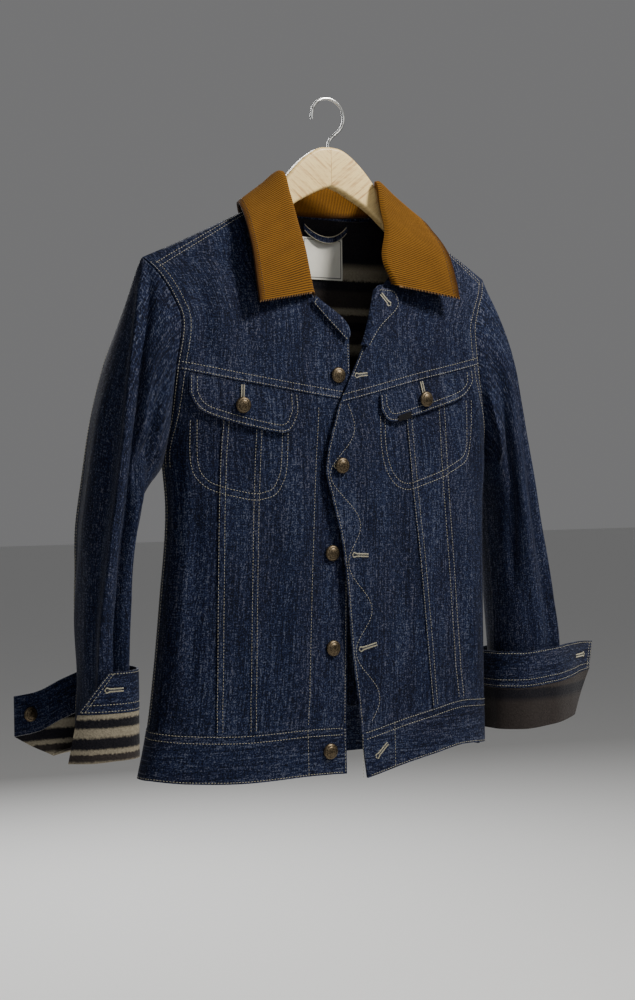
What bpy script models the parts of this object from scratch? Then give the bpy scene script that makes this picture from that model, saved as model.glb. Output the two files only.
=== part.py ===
"""Western denim jacket with a corduroy collar, hanging on a two-arm wooden hanger.

Frame: the origin is where the hook rests on a rail, +Z is up, the fronts face -Y, and +X is the
side of the front with the buttonholes. Sizes in the tables are millimetres. Every garment piece
is a flat slab in pattern space whose points are bent to the garment's form.
"""
import math

import bmesh
import bpy
from mathutils import Vector

MM = 0.001

# Cloth walls
DENIM = 2.0
DOUBLE_DENIM = 3.0
CORDUROY = 2.6
LINING = 2.4
LINING_GAP = 0.8
SEAM_GAP = 0.25

# Body form
SECTION_POWER = 2.6     # flatness of the body's oval sections
SHOULDER_ROLL = 110.0   # drop over which the cloth turns down from the shoulder ridge
NECK_HALF = 84.0
NECK_DEPTH = 44.0
NECK_TOP = -117.5
NECK_DIP = 4.0
TIP_LEFT = -223.0
TIP_RIGHT = 201.0
TIP_HEIGHT = -184.0
ARMPIT = -394.0
OVERLAP_LIFT = 5.0      # how far the buttonhole front stands over the button front
WAISTBAND_HEIGHT = 50.0
BACK_SEAM = -292.0
BACK_BAND_TOP = -668.0

# Buttons, worked from the 17 mm shank button
BUTTON_RADIUS = 8.5
BUTTON_HEIGHT = 6.0
CUFF_BUTTON_RADIUS = 7.5

# Hanger
HANGER_THICKNESS = 13.0
HOOK_WIRE = 3.6
HOOK_RADIUS = 20.0


class Table:
    """A short table of named columns, read smoothly between its rows by its first column."""

    def __init__(self, names, *rows):
        self.names = names.split()
        self.rows = sorted(rows)

    def slope(self, row, column):
        """Gradient at one row, level where the column turns round."""
        low = self.rows[max(row - 1, 0)]
        high = self.rows[min(row + 1, len(self.rows) - 1)]
        here = self.rows[row]
        before = here[column] - low[column]
        after = high[column] - here[column]
        if low is not here and high is not here and before * after <= 0:
            return 0.0
        return (high[column] - low[column]) / (high[0] - low[0])

    def __call__(self, key, name):
        column = self.names.index(name)
        key = min(max(key, self.rows[0][0]), self.rows[-1][0])
        row = 0
        while row < len(self.rows) - 2 and key > self.rows[row + 1][0]:
            row += 1
        start, end = self.rows[row], self.rows[row + 1]
        span = end[0] - start[0]
        t = (key - start[0]) / span
        rise = end[column] - start[column]
        slope_in = self.slope(row, column) * span
        slope_out = self.slope(row + 1, column) * span
        return (start[column] + slope_in * t + (3 * rise - 2 * slope_in - slope_out) * t * t
                + (slope_in + slope_out - 2 * rise) * t * t * t)


# The body at each height: its two sides, the depth of its edges, and of its front and back
BODY = Table(
    "height left right front_edge front back_edge back",
    (-184, -223, 201, -16, -34, 14, 45),
    (-198, -214, 193, -25, -36, 20, 46),
    (-208, -209, 187, -29, -38, 23, 46.5),
    (-222, -203.5, 177, -33, -41, 27, 47),
    (-251, -196.5, 166, -38, -43, 31, 49),
    (-298, -202, 171, -34, -45, 32, 50),
    (-345, -203, 184, -22, -46, 24, 50),
    (-394, -202, 195, -0.3, -46, 0.3, 49),
    (-440, -199, 191.5, -0.3, -46, 0.3, 48),
    (-540, -208, 189.5, -0.3, -47, 0.3, 46),
    (-640, -220, 188.5, -0.3, -49, 0.3, 44),
    (-680, -227, 188, -0.3, -49.5, 0.3, 43.5),
    (-730, -239, 188, -0.3, -50, 0.3, 43),
)

# Height of the shoulder ridge across the garment, and the shoulder seam that runs forward of it
SHOULDER = Table(
    "across ridge seam_across seam_height",
    (-223, -184, -214, -198),
    (-195, -171.5, -190, -183),
    (-155, -152.5, -152, -160),
    (-112, -131.5, -111, -135.3),
    (-84, -117.5, -84, -120.5),
    (-50, -106, -50, -109),
    (0, -100, 0, -103),
    (50, -106, 50, -109),
    (84, -117.5, 84, -120.5),
    (112, -132, 111, -135.8),
    (150, -154, 147, -161.5),
    (180, -171.5, 174.5, -182.5),
    (201, -184, 193, -198),
)

# Inner edge of each front from the shoulder seam down the neck and the roll of the lapel, as a
# share of the way down the yoke
NECK_LEFT = Table(
    "down across height",
    (0.0, -84, -120.5),
    (0.15, -82, -131),
    (0.35, -75, -156),
    (0.55, -62, -188),
    (0.72, -46, -221),
    (0.88, -4, -263),
    (1.0, -5, -331),
)
NECK_RIGHT = Table(
    "down across height",
    (0.0, 84, -120.5),
    (0.15, 82, -131),
    (0.35, 75, -156),
    (0.52, 62, -184),
    (0.64, 45, -203),
    (0.72, 32, -210),
    (0.88, 11, -270),
    (1.0, -21, -334),
)

# Turned-out edge of each lapel, and where on the neck line above its roll starts and ends
LAPEL_LEFT = Table(
    "row neck across height",
    (0.0, 0.725, -50, -226.5),
    (0.5, 0.8, -29.5, -247),
    (1.0, 0.87, -8, -267),
)
LAPEL_RIGHT = Table(
    "row neck across height",
    (0.0, 0.722, 54, -210),
    (0.28, 0.77, 60, -224),
    (0.7, 0.84, 31, -252),
    (1.0, 0.885, 14, -274),
)
LAPEL_ROLL = (
    # share from the roll to the edge, how far into the opening, stand off the front, and which way
    # the cloth's inner face looks: 180 back into the jacket, 0 out of it
    (0.0, 0.6, 0.0, 180.0),
    (0.0, 1.4, 0.8, 90.0),
    (0.04, 0.0, 1.7, 20.0),
    (0.2, 0.0, 3.2, 0.0),
    (0.6, 0.0, 3.2, 0.0),
    (1.0, 0.0, 2.2, 0.0),
)

# Seam between yoke and panel, read across the garment
YOKE_SEAM = Table(
    "across height",
    (-223, -298),
    (-202, -301),
    (-130, -313),
    (-70, -322),
    (-5, -331),
)
YOKE_SEAM_RIGHT = Table(
    "across height",
    (-30, -336),
    (35, -320),
    (82, -308),
    (130, -297),
    (172, -287),
    (200, -283),
)

# Top of the waistband, read across each front
BAND_LEFT = Table(
    "across height",
    (-232, -668),
    (-200, -672),
    (-130, -676),
    (-66, -675),
    (-17, -677),
)
BAND_RIGHT = Table(
    "across height",
    (-4, -684),
    (38, -676),
    (95, -666),
    (140, -660),
    (190, -664),
)

# Front edges below the yoke: the buttonhole front curves where it pulls open
EDGE_RIGHT = Table(
    "height across",
    (-330, -20),
    (-373, -33),
    (-404, -38),
    (-436, -31),
    (-479, -21),
    (-543, -15),
    (-596, -12),
    (-649, -6),
    (-684, -3),
    (-737, 4),
)
EDGE_LEFT = Table(
    "height across",
    (-331, -5),
    (-500, -10),
    (-678, -17),
    (-728, -17.3),
)

# Lines down the front panels at yoke and waistband, and how far the cloth is raised there; the
# last two are measured in from the side
PANEL_LEFT = (
    ("edge", -5.0, -17.0, 0.0),
    ("placket", -46.0, -64.0, 0.0),
    ("field", -84.0, -98.0, 0.0),
    ("pleat rise", -107.0, -121.5, 0.3),
    ("pleat top", -113.0, -127.5, 1.7),
    ("pleat fold", -115.5, -130.0, 1.5),
    ("pleat foot", -116.6, -131.1, 0.0),
    ("field", -134.0, -148.0, 0.0),
    ("pleat rise", -151.0, -164.0, 0.3),
    ("pleat top", -157.0, -170.0, 1.7),
    ("pleat fold", -159.5, -172.5, 1.5),
    ("pleat foot", -160.6, -173.6, 0.0),
    ("field", -172.0, -186.0, 0.0),
    ("side", 13.0, 14.0, 0.0),
    ("side", 5.5, 5.5, 0.0),
)
PANEL_RIGHT = (
    ("edge", -20.0, -3.0, 0.0),
    ("placket", 22.0, 38.0, 0.0),
    ("field", 48.0, 68.0, 0.0),
    ("pleat rise", 62.0, 88.0, 0.3),
    ("pleat top", 68.0, 94.0, 1.7),
    ("pleat fold", 70.5, 96.5, 1.5),
    ("pleat foot", 71.6, 97.6, 0.0),
    ("field", 90.0, 117.0, 0.0),
    ("pleat rise", 104.0, 131.0, 0.3),
    ("pleat top", 110.0, 137.0, 1.7),
    ("pleat fold", 112.5, 139.5, 1.5),
    ("pleat foot", 113.6, 140.6, 0.0),
    ("field", 134.0, 160.0, 0.0),
    ("side", -13.0, -14.0, 0.0),
    ("side", -5.5, -5.5, 0.0),
)

# Pocket flap: depth of its lower edge at each share of its width from the outer end, and for each
# flap its outer end, inner end and how deep it is against the table
FLAP_DEPTH = Table(
    "share depth",
    (0.0, 17),
    (0.05, 28),
    (0.13, 35),
    (0.3, 39),
    (0.57, 42),
    (0.8, 43),
    (0.93, 37),
    (1.0, 20),
)
FLAP_LEFT = (-191.0, -70.0, 1.0)
FLAP_RIGHT = (156.0, 29.5, 0.76)
FLAP_BELOW_SEAM = 3.5
FLAP_STAND = Table(
    "row stand",
    (0.0, 2.7),
    (0.3, 3.6),
    (0.65, 4.4),
    (1.0, 4.4),
)

# Collar from the left wing's end round the neck to the right wing's: neck seam, roll and outer
# edge. The step counts along the collar.
COLLAR = Table(
    "step neck_x neck_y neck_z roll_x roll_y roll_z edge_x edge_y edge_z",
    (0, -47, -43, -220, -52, -48, -218, -119, -57, -231),
    (1, -60, -38, -186, -57, -43, -176, -121, -53, -200),
    (2, -72, -31, -156, -61, -35, -146, -121, -44, -168),
    (3, -80, -19, -130, -65, -25, -112, -119, -27, -139),
    (4, -83.5, -5, -117, -67, -12, -87, -113, -3, -122),
    (5, -81, 14, -117.3, -75, 12, -97, -95, 27, -129),
    (6, -66, 30, -118.5, -64, 34, -96, -76, 50, -138),
    (7, -38, 41, -120.3, -38, 47, -88, -46, 63, -147),
    (8, 0, 46, -121, 0, 52, -86, 0, 67, -150),
    (9, 38, 41, -120.3, 38, 47, -88, 46, 63, -147),
    (10, 66, 30, -118.5, 62, 34, -94, 78, 50, -138),
    (11, 81, 14, -117.3, 68, 12, -94, 98, 28, -130),
    (12, 84, -5.5, -117, 55, -11, -88, 112, -2, -124),
    (13, 80, -19, -130, 54, -22, -117, 121, -22, -142),
    (14, 71, -31, -156, 53, -32, -146, 126, -43, -168),
    (15, 62, -37, -182, 44, -41, -176, 129, -52, -196),
    (16, 50, -41, -200, 55, -49, -206, 130, -57, -217),
)

# Sleeves from the armhole down: outer and inner line, middle depth and half depth
SLEEVE_LEFT = Table(
    "step outer_x outer_z inner_x inner_z middle half",
    (0, -233, -200, -206, -402, 0, 40),
    (1, -237, -224, -212, -408, 2, 42),
    (2, -254, -278, -224, -420, 4, 46),
    (3, -270, -345, -236, -437, 5, 50),
    (4, -281, -413, -243, -463, 4, 51),
    (5, -293, -478, -250, -505, 1, 49),
    (6, -299, -543, -255, -556, -3, 46),
    (7, -300, -604, -256, -609, -6, 42),
    (8, -301, -645, -256, -646, -6, 40),
    (9, -302, -681, -255, -681, -5, 39),
)
SLEEVE_RIGHT = Table(
    "step outer_x outer_z inner_x inner_z middle half",
    (0, 209, -200, 198, -402, 0, 40),
    (1, 215, -224, 201, -408, 4, 43),
    (2, 228, -278, 204, -420, 8, 45),
    (3, 241, -345, 208, -437, 9, 47),
    (4, 252, -413, 210, -463, 7, 46),
    (5, 263, -478, 210, -505, 3, 44),
    (6, 277, -543, 209, -558, -2, 41),
    (7, 289, -608, 207, -613, -6, 38),
    (8, 290, -652, 204, -655, -8, 35),
    (9, 290, -690, 201, -690, -8, 34),
)
SLEEVE_POWER = 2.3
ARMHOLE_GAP = 0.6
BACK_SLEEVE_SEAM = 3    # which row of the back's armhole edge the sleeve's back seam starts from
SEAM_TURN = 0.15        # half the gap at a sleeve seam, in degrees round

# Plan of each turned-back sleeve end, from its near end round the arm to its far end, and how much
# higher than level its top, its middle seam and its foot run
CUFF_LEFT = Table(
    "step across depth top middle foot",
    (0, -331, -34, 0, 0, -1),
    (1, -308, -50, 0, 0, -1),
    (2, -280, -54, 0, 0, 0),
    (3, -256, -44, 0, 0, 0),
    (4, -246, -12, 0, 0, 0),
    (5, -251, 24, 0, 0, 0),
    (6, -272, 42, -4, -4, 0),
    (7, -300, 47, -14, -14, -3),
    (8, -326, 48, -25, -25, -8),
    (9, -353, 44, -28, -28, -12),
)
CUFF_RIGHT = Table(
    "step across depth top middle foot",
    (0, 350, -6, 2, 10, 16),
    (1, 322, -20, 4, 9, 12),
    (2, 290, -40, 5, 6, 7),
    (3, 255, -52, 3, 3, 3),
    (4, 215, -49, 0, 0, 0),
    (5, 193, -24, 0, 0, 0),
    (6, 195, 10, 0, 0, 0),
    (7, 222, 38, 0, 0, 0),
    (8, 256, 43, 2, 2, 2),
    (9, 290, 44, 4, 4, 4),
)
CUFF_BAND_HEIGHT = 41.0
CUFF_LINING_HEIGHT = 46.5

# Each cuff: its plan, the height of its foot, and which way round its plan runs
CUFFS = (
    ("left", CUFF_LEFT, -688.0, 1.0),
    ("right", CUFF_RIGHT, -699.0, -1.0),
)

# Where on its plan each edge of a cuff starts and stops
CUFF_ENDS = {
    "left": {"foot": (0.15, 7.4), "middle": (0.5, 9.0), "top": (1.65, 9.0)},
    "right": {"foot": (1.7, 8.0), "middle": (0.3, 9.0), "top": (0.0, 9.0)},
}

# Hanger arm, read outwards from the centre: top and bottom edge
HANGER = Table(
    "out top bottom",
    (0, -52, -95),
    (14, -54, -100),
    (28, -62, -107),
    (42, -74, -114.5),
    (56, -90, -124),
    (70, -108, -136),
    (84, -122.5, -148),
    (110, -135.5, -160),
    (150, -158, -179),
    (174, -173, -191),
)

BUTTONS = (
    # name, across, height, on the buttonhole front
    ("front_button_2", -20.0, -304.0, False),
    ("front_button_3", -20.5, -400.0, True),
    ("front_button_4", -29.5, -492.5, False),
    ("front_button_5", -32.0, -593.0, False),
    ("front_button_6", -39.5, -701.0, False),
)
FLAP_BUTTONS = (
    ("flap_button_left", -135.0, -337.0),
    ("flap_button_right", 89.0, -328.0),
)

COLOURS = {
    # red, green, blue, roughness, metallic
    "denim": (0.035, 0.06, 0.13, 0.85, 0.0),
    "corduroy": (0.55, 0.27, 0.06, 0.9, 0.0),
    "blanket": (0.33, 0.31, 0.30, 0.95, 0.0),
    "label": (0.80, 0.79, 0.74, 0.7, 0.0),
    "wood": (0.78, 0.58, 0.36, 0.45, 0.0),
    "steel": (0.70, 0.70, 0.70, 0.25, 1.0),
    "antique_brass": (0.24, 0.19, 0.12, 0.4, 1.0),
}


def empty_scene():
    """Remove the start scene's objects and make the garment's collection."""
    for old in list(bpy.data.objects):
        bpy.data.objects.remove(old, do_unlink=True)
    collection = bpy.data.collections.new("denim_jacket_on_hanger")
    bpy.context.scene.collection.children.link(collection)
    return collection


def finish(name):
    """The named plain material, made once."""
    material = bpy.data.materials.get(name)
    if material is None:
        material = bpy.data.materials.new(name)
        material.use_nodes = True
        red, green, blue, roughness, metallic = COLOURS[name]
        shader = material.node_tree.nodes["Principled BSDF"]
        shader.inputs["Base Color"].default_value = (red, green, blue, 1.0)
        shader.inputs["Roughness"].default_value = roughness
        shader.inputs["Metallic"].default_value = metallic
    return material


def add_object(collection, name, bm, material):
    """Close a bmesh into a named object with outward faces."""
    bmesh.ops.recalc_face_normals(bm, faces=bm.faces[:])
    if bm.calc_volume(signed=True) < 0:
        bmesh.ops.reverse_faces(bm, faces=bm.faces[:])
    mesh = bpy.data.meshes.new(name)
    bm.to_mesh(mesh)
    bm.free()
    mesh.materials.append(finish(material))
    mesh.shade_smooth()
    mesh.set_sharp_from_angle(angle=math.radians(40))
    thing = bpy.data.objects.new(name, mesh)
    collection.objects.link(thing)
    return thing


def cloth(collection, name, columns, rows, form, wall, material, keep=None):
    """A slab in pattern space, one wall thick, bent by form(column, row, depth) in millimetres."""
    bm = bmesh.new()
    across, down = len(columns) - 1, len(rows) - 1
    bmesh.ops.create_grid(bm, x_segments=across, y_segments=down, size=0.5)
    if keep:
        spare = [f for f in bm.faces if not keep(
            columns[int((f.calc_center_median().x + 0.5) * across)],
            rows[int((f.calc_center_median().y + 0.5) * down)])]
        bmesh.ops.delete(bm, geom=spare, context="FACES")
    raised = bmesh.ops.extrude_face_region(bm, geom=bm.faces[:], use_keep_orig=True)
    for part in raised["geom"]:
        if isinstance(part, bmesh.types.BMVert):
            part.co.z = 1.0
    for vert in bm.verts:
        column = columns[round((vert.co.x + 0.5) * across)]
        row = rows[round((vert.co.y + 0.5) * down)]
        vert.co = form(column, row, wall * vert.co.z) * MM
    return add_object(collection, name, bm, material)


def blend(a, b, t):
    return a + (b - a) * t


def ease(t):
    """A smooth step from 0 to 1."""
    t = min(max(t, 0.0), 1.0)
    return t * t * (3 - 2 * t)


def steps(start, end, count):
    """Evenly spaced values, both ends included."""
    return [start + (end - start) * i / count for i in range(count + 1)]


# ---------------------------------------------------------------- the body's form

def share_across(x, z):
    """Where x lies between the body's sides at height z, from -1 to 1."""
    left, right = BODY(z, "left"), BODY(z, "right")
    return (2 * x - left - right) / (right - left)


def crest(x, back):
    """Depth and height of the line that the front or back hangs from."""
    if back and abs(x) < NECK_HALF:
        round_neck = math.sqrt(1 - (x / NECK_HALF) ** 2)
        return NECK_DEPTH * round_neck, NECK_TOP - NECK_DIP * round_neck
    return 0.0, SHOULDER(x, "ridge")


def body_point(angle, z, back):
    """Outer surface of the front or back: the angle runs from -90 at the left side to 90."""
    q = math.sin(math.radians(angle))
    left, right = BODY(z, "left"), BODY(z, "right")
    x = blend(left, right, (q + 1) / 2)
    bulge = max(0.0, 1 - abs(q) ** SECTION_POWER) ** (1 / SECTION_POWER)
    side = "back" if back else "front"
    y = blend(BODY(z, side + "_edge"), BODY(z, side), bulge)
    crest_y, crest_z = crest(x, back)
    drop = min(max(crest_z - z, 0.0), SHOULDER_ROLL)
    turn = math.sqrt(1 - (1 - drop / SHOULDER_ROLL) ** 2)
    return Vector((x, blend(crest_y, y, turn), z))


def body_skin(x, z, lift, back=False):
    """A point lifted off the body's outer surface along its normal."""
    q = min(max(share_across(x, z), -1.0), 1.0)
    angle = math.degrees(math.asin(q))
    here = body_point(angle, z, back)
    crest_y, crest_z = crest(x, back)
    if crest_z - z < 1.0:
        if back and abs(x) < NECK_HALF:
            lean = math.sqrt(1 - (x / NECK_HALF) ** 2)
            normal = Vector((0.0, lean, 1 - lean)).normalized()
        else:
            slope = (SHOULDER(x + 1, "ridge") - SHOULDER(x - 1, "ridge")) / 2
            normal = Vector((-slope, 0.0, 1.0)).normalized()
    else:
        low = body_point(max(angle - 1.5, -90), z, back)
        high = body_point(min(angle + 1.5, 90), z, back)
        upper = body_point(angle, min(z + 1.5, crest_z - 0.1), back)
        lower = body_point(angle, z - 1.5, back)
        normal = (high - low).cross(upper - lower).normalized()
        if back:
            normal = -normal
    return here + normal * lift


def overlap_lift(x):
    """The buttonhole front stands over the button front and comes down to its own side."""
    return OVERLAP_LIFT * (1 - ease((x - 5) / 60))


def front_skin(x, z, lift, right):
    """A point off the left or right front."""
    return body_skin(x, z, lift + (overlap_lift(x) if right else 0.0))


def across_at(angle, z):
    """The x of an angle round the body's section."""
    left, right = BODY(z, "left"), BODY(z, "right")
    return blend(left, right, (math.sin(math.radians(angle)) + 1) / 2)


# ---------------------------------------------------------------- body pieces

# Shares of the way along the shoulder seam, the same for the yokes on both sides of it
YOKE_COLUMNS = [0.0, 0.1, 0.23, 0.4, 0.56, 0.72, 0.88, 1.0]

# Rows of the pieces that end on the armhole, so that the sleeve meets them point for point
BACK_YOKE_ROWS = [-1.0, -0.4, 0.0, 0.035, 0.1, 0.22, 0.4, 0.6, 0.8, 1.0]
BACK_BODY_ROWS = [BACK_SEAM - SEAM_GAP, -320, -350, -376, ARMPIT, -430, -490, -560, -620,
                  BACK_BAND_TOP + SEAM_GAP]
FRONT_YOKE_ROWS = [0.0, 0.07, 0.15, 0.25, 0.35, 0.46, 0.55, 0.64, 0.72, 0.76, 0.8, 0.84, 0.88, 1.0]
PANEL_ARMHOLE_ROWS = [0.0, 0.35, 0.7, 1.0]
PANEL_LOWER_ROWS = [0.12, 0.26, 0.42, 0.6, 0.8, 1.0]


def back_yoke(collection):
    """Back yoke from its seam, up over the ridge to the shoulder seam in front."""
    columns = [blend(-NECK_HALF, TIP_LEFT, share) for share in reversed(YOKE_COLUMNS)]
    columns += [-82, -76, -62, -42, -20, 0, 20, 42, 62, 76, 82]
    columns += [blend(NECK_HALF, TIP_RIGHT, share) for share in YOKE_COLUMNS]
    middle = (TIP_LEFT + TIP_RIGHT) / 2

    def form(column, row, depth):
        ridge = SHOULDER(column, "ridge")
        if row < 0:
            x = blend(column, SHOULDER(column, "seam_across"), -row)
            return body_skin(x, blend(ridge, SHOULDER(column, "seam_height"), -row), -depth)
        top = crest(column, True)[1]
        z = blend(top, BACK_SEAM, row)
        tip_share = (column - middle) / (TIP_RIGHT - middle)
        q = blend(share_across(column, top), tip_share, ease(row * 3))
        left, right = BODY(z, "left"), BODY(z, "right")
        return body_skin(blend(left, right, (q + 1) / 2), z, -depth, back=True)

    def keep(column, row):
        return row >= 0 or column < -NECK_HALF or column >= NECK_HALF

    cloth(collection, "back_yoke", columns, BACK_YOKE_ROWS, form, DENIM, "denim", keep)


def back_body(collection):
    """Back from the yoke seam to the waistband."""
    angles = [-90, -76, -62, -48, -34, -20, -6, 6, 20, 34, 48, 62, 76, 90]

    def form(angle, z, depth):
        return body_skin(across_at(angle, z), z, -depth, back=True)

    cloth(collection, "back_body", angles, BACK_BODY_ROWS, form, DENIM, "denim")


def yoke_side(row, right):
    """Height on the armhole where a row of the front yoke ends."""
    seam, side = (YOKE_SEAM_RIGHT, "right") if right else (YOKE_SEAM, "left")
    top = SHOULDER(TIP_RIGHT if right else TIP_LEFT, "seam_height")
    return blend(top, seam(BODY(-300, side), "height"), row)


def front_yoke(collection, right):
    """Front yoke from the shoulder seam to the panel seam, rolled back at the lapel."""
    neck = NECK_RIGHT if right else NECK_LEFT
    seam = YOKE_SEAM_RIGHT if right else YOKE_SEAM
    side, tip = ("right", TIP_RIGHT) if right else ("left", TIP_LEFT)
    shoulder = NECK_HALF if right else -NECK_HALF

    def top_line(column):
        ridge_x = blend(shoulder, tip, column)
        return Vector((SHOULDER(ridge_x, "seam_across"), SHOULDER(ridge_x, "seam_height")))

    def foot_line(column):
        x = blend(neck(1, "across"), BODY(yoke_side(1, right), side), column)
        return Vector((x, seam(x, "height")))

    def armhole_line(row):
        z = yoke_side(row, right)
        return Vector((BODY(z, side), z))

    def form(column, row, depth):
        inner = Vector((neck(row, "across"), neck(row, "height")))
        flat = (top_line(column) * (1 - row) + foot_line(column) * row
                + inner * (1 - column) + armhole_line(row) * column)
        corners = (top_line(0).lerp(top_line(1), column) * (1 - row)
                   + foot_line(0).lerp(foot_line(1), column) * row)
        x, z = flat - corners
        z += SEAM_GAP * (row * 2 - 1)
        return front_skin(x, z, -depth, right)

    cloth(collection, "front_yoke_" + side, YOKE_COLUMNS, FRONT_YOKE_ROWS, form, DENIM, "denim")


def front_panel(collection, right):
    """Front panel with its two pleats, from the yoke seam to the waistband."""
    table = PANEL_RIGHT if right else PANEL_LEFT
    seam = YOKE_SEAM_RIGHT if right else YOKE_SEAM
    band = BAND_RIGHT if right else BAND_LEFT
    edge = EDGE_RIGHT if right else EDGE_LEFT
    side = "right" if right else "left"
    lines = table + (("side", 0.0, 0.0, 0.0),)
    columns = list(range(len(lines)))
    side_top = seam(BODY(-300, side), "height") - SEAM_GAP
    side_foot = band(BODY(-670, side), "height") + SEAM_GAP
    armpit = (ARMPIT - side_top) / (side_foot - side_top)
    rows = [armpit * row for row in PANEL_ARMHOLE_ROWS]
    rows += [blend(armpit, 1.0, row) for row in PANEL_LOWER_ROWS]

    def form(column, row, depth):
        name, upper, lower, lift = lines[column]
        top_x = upper + BODY(-300, side) if name == "side" else upper
        foot_x = lower + BODY(-670, side) if name == "side" else lower
        top = seam(top_x, "height") - SEAM_GAP
        foot = band(foot_x, "height") + SEAM_GAP
        z = blend(top, foot, row)
        x = blend(upper, lower, row)
        if name == "side":
            x += BODY(z, side)
        pull = edge(z, "across") - blend(table[0][1], table[0][2], row)
        x += pull * (1 - ease(column / 3))
        return front_skin(x, z, lift * ease(row / rows[1]) - depth, right)

    cloth(collection, "front_panel_" + side, columns, rows, form, DENIM, "denim")


def waistband(collection, name, angles, top_line, back, right, edge=None):
    """One length of the waistband, hung from the panels' lower edge."""
    rows = [0.0, 0.3, 0.65, 1.0]

    def form(angle, row, depth):
        z = BACK_BAND_TOP
        x = across_at(angle, z)
        for _ in range(2):
            z = top_line(x) - row * WAISTBAND_HEIGHT
            x = across_at(angle, z)
            if edge:
                reach = edge(z, "across")
                x = blend(reach, BODY(z, "right" if right else "left"), angle_share(angle, angles))
        if back:
            return body_skin(x, z, 0.6 - depth, back=True)
        return front_skin(x, z, 0.6 - depth, right)

    cloth(collection, name, angles, rows, form, DOUBLE_DENIM, "denim")


def angle_share(angle, angles):
    """How far round from the front edge to the side an angle lies, as a share of the width."""
    start = math.sin(math.radians(angles[0]))
    end = math.sin(math.radians(angles[-1]))
    return (math.sin(math.radians(angle)) - start) / (end - start)


def waistbands(collection):
    """The band in three lengths that meet at the side seams."""
    left_angles = [2, -10, -22, -34, -46, -58, -70, -80, -90]
    right_angles = [2, 12, 22, 34, 46, 58, 70, 80, 90]
    back_angles = [-90, -76, -60, -44, -28, -10, 10, 28, 44, 60, 76, 90]
    waistband(collection, "waistband_left", left_angles, lambda x: BAND_LEFT(x, "height"),
              False, False, EDGE_LEFT)
    waistband(collection, "waistband_right", right_angles, lambda x: BAND_RIGHT(x, "height"),
              False, True, EDGE_RIGHT)
    waistband(collection, "waistband_back", back_angles, lambda x: BACK_BAND_TOP, True, False)


def lapel(collection, right):
    """A front corner rolled outwards: it starts at the yoke's edge, turns over and lies on it."""
    neck = NECK_RIGHT if right else NECK_LEFT
    edge = LAPEL_RIGHT if right else LAPEL_LEFT

    def form(column, row, depth):
        share, aside, stand, turn = LAPEL_ROLL[column]
        down = blend(edge(0, "neck"), edge(1, "neck"), row)
        roll = Vector((neck(down, "across"), neck(down, "height")))
        tip = Vector((edge(row, "across"), edge(row, "height")))
        inward = (roll - tip).normalized()
        turn = math.radians(turn)
        x, z = roll.lerp(tip, share) + inward * (aside + depth * math.sin(turn))
        return front_skin(x, z, stand + depth * math.cos(turn), right)

    side = "right" if right else "left"
    columns = list(range(len(LAPEL_ROLL)))
    cloth(collection, "lapel_" + side, columns, steps(0.0, 1.0, 7), form, DENIM, "denim")


def pocket_flap(collection, side, ends, right):
    """Flap over the pocket, lying on the pleats."""
    seam = YOKE_SEAM_RIGHT if right else YOKE_SEAM
    columns = [0.0, 0.05, 0.13, 0.24, 0.36, 0.5, 0.64, 0.8, 0.93, 1.0]
    rows = [0.0, 0.3, 0.65, 1.0]

    def form(column, row, depth):
        x = blend(ends[0], ends[1], column)
        top = seam(x, "height") - FLAP_BELOW_SEAM
        z = top - row * FLAP_DEPTH(column, "depth") * ends[2]
        return front_skin(x, z, FLAP_STAND(row, "stand") - depth, right)

    cloth(collection, "pocket_flap_" + side, columns, rows, form, DENIM, "denim")


# ---------------------------------------------------------------- collar

def collar(collection):
    """Stand and fall in one folded piece, open at the front."""
    along = steps(0.0, 16.0, 32)
    # the cage's lines: up the stand to the roll, which is line 3, and down the fall to the edge
    across = [0, 1, 2, 3, 4, 5, 6, 7]

    def cage(step, place):
        neck, roll, edge = (Vector([COLLAR(step, p + c) for c in ("_x", "_y", "_z")])
                            for p in ("neck", "roll", "edge"))
        fall = (edge - roll).normalized()
        stand = (neck - roll).normalized()
        turn = min((neck - roll).length, 12.0) * 0.35
        outward = fall - stand
        if place == 0:
            return neck
        if place == 1:
            return neck.lerp(roll, 0.55)
        if place == 2:
            return roll + stand * turn - outward.normalized() * 0.8
        if place == 3:
            return roll
        if place == 4:
            return roll + fall * turn + outward.normalized() * 0.8
        return roll.lerp(edge, (0.35, 0.68, 1.0)[place - 5])

    def form(step, place, depth):
        here = cage(step, place)
        along_way = cage(min(step + 0.2, 16), place) - cage(max(step - 0.2, 0), place)
        across_way = cage(step, min(place + 1, 7)) - cage(step, max(place - 1, 0))
        normal = along_way.cross(across_way).normalized()
        return here + normal * depth

    cloth(collection, "collar", along, across, form, CORDUROY, "corduroy")


# ---------------------------------------------------------------- sleeves and cuffs

def armhole_point(angle, right):
    """A point on the body's armhole edge: angle 0 at the tip, 90 in front, 180 at the armpit."""
    turn = math.radians(angle)
    z = blend(TIP_HEIGHT, ARMPIT, (1 - math.cos(turn)) / 2)
    point = body_point(90 if right else -90, z, back=math.sin(turn) < 0)
    out = ARMHOLE_GAP if right else -ARMHOLE_GAP
    return point + Vector((out, 0, 0))


def armhole_angle(z):
    """The angle round the armhole of a height on it."""
    share = (z - TIP_HEIGHT) / (ARMPIT - TIP_HEIGHT)
    return math.degrees(math.acos(1 - 2 * min(max(share, 0.0), 1.0)))


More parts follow.
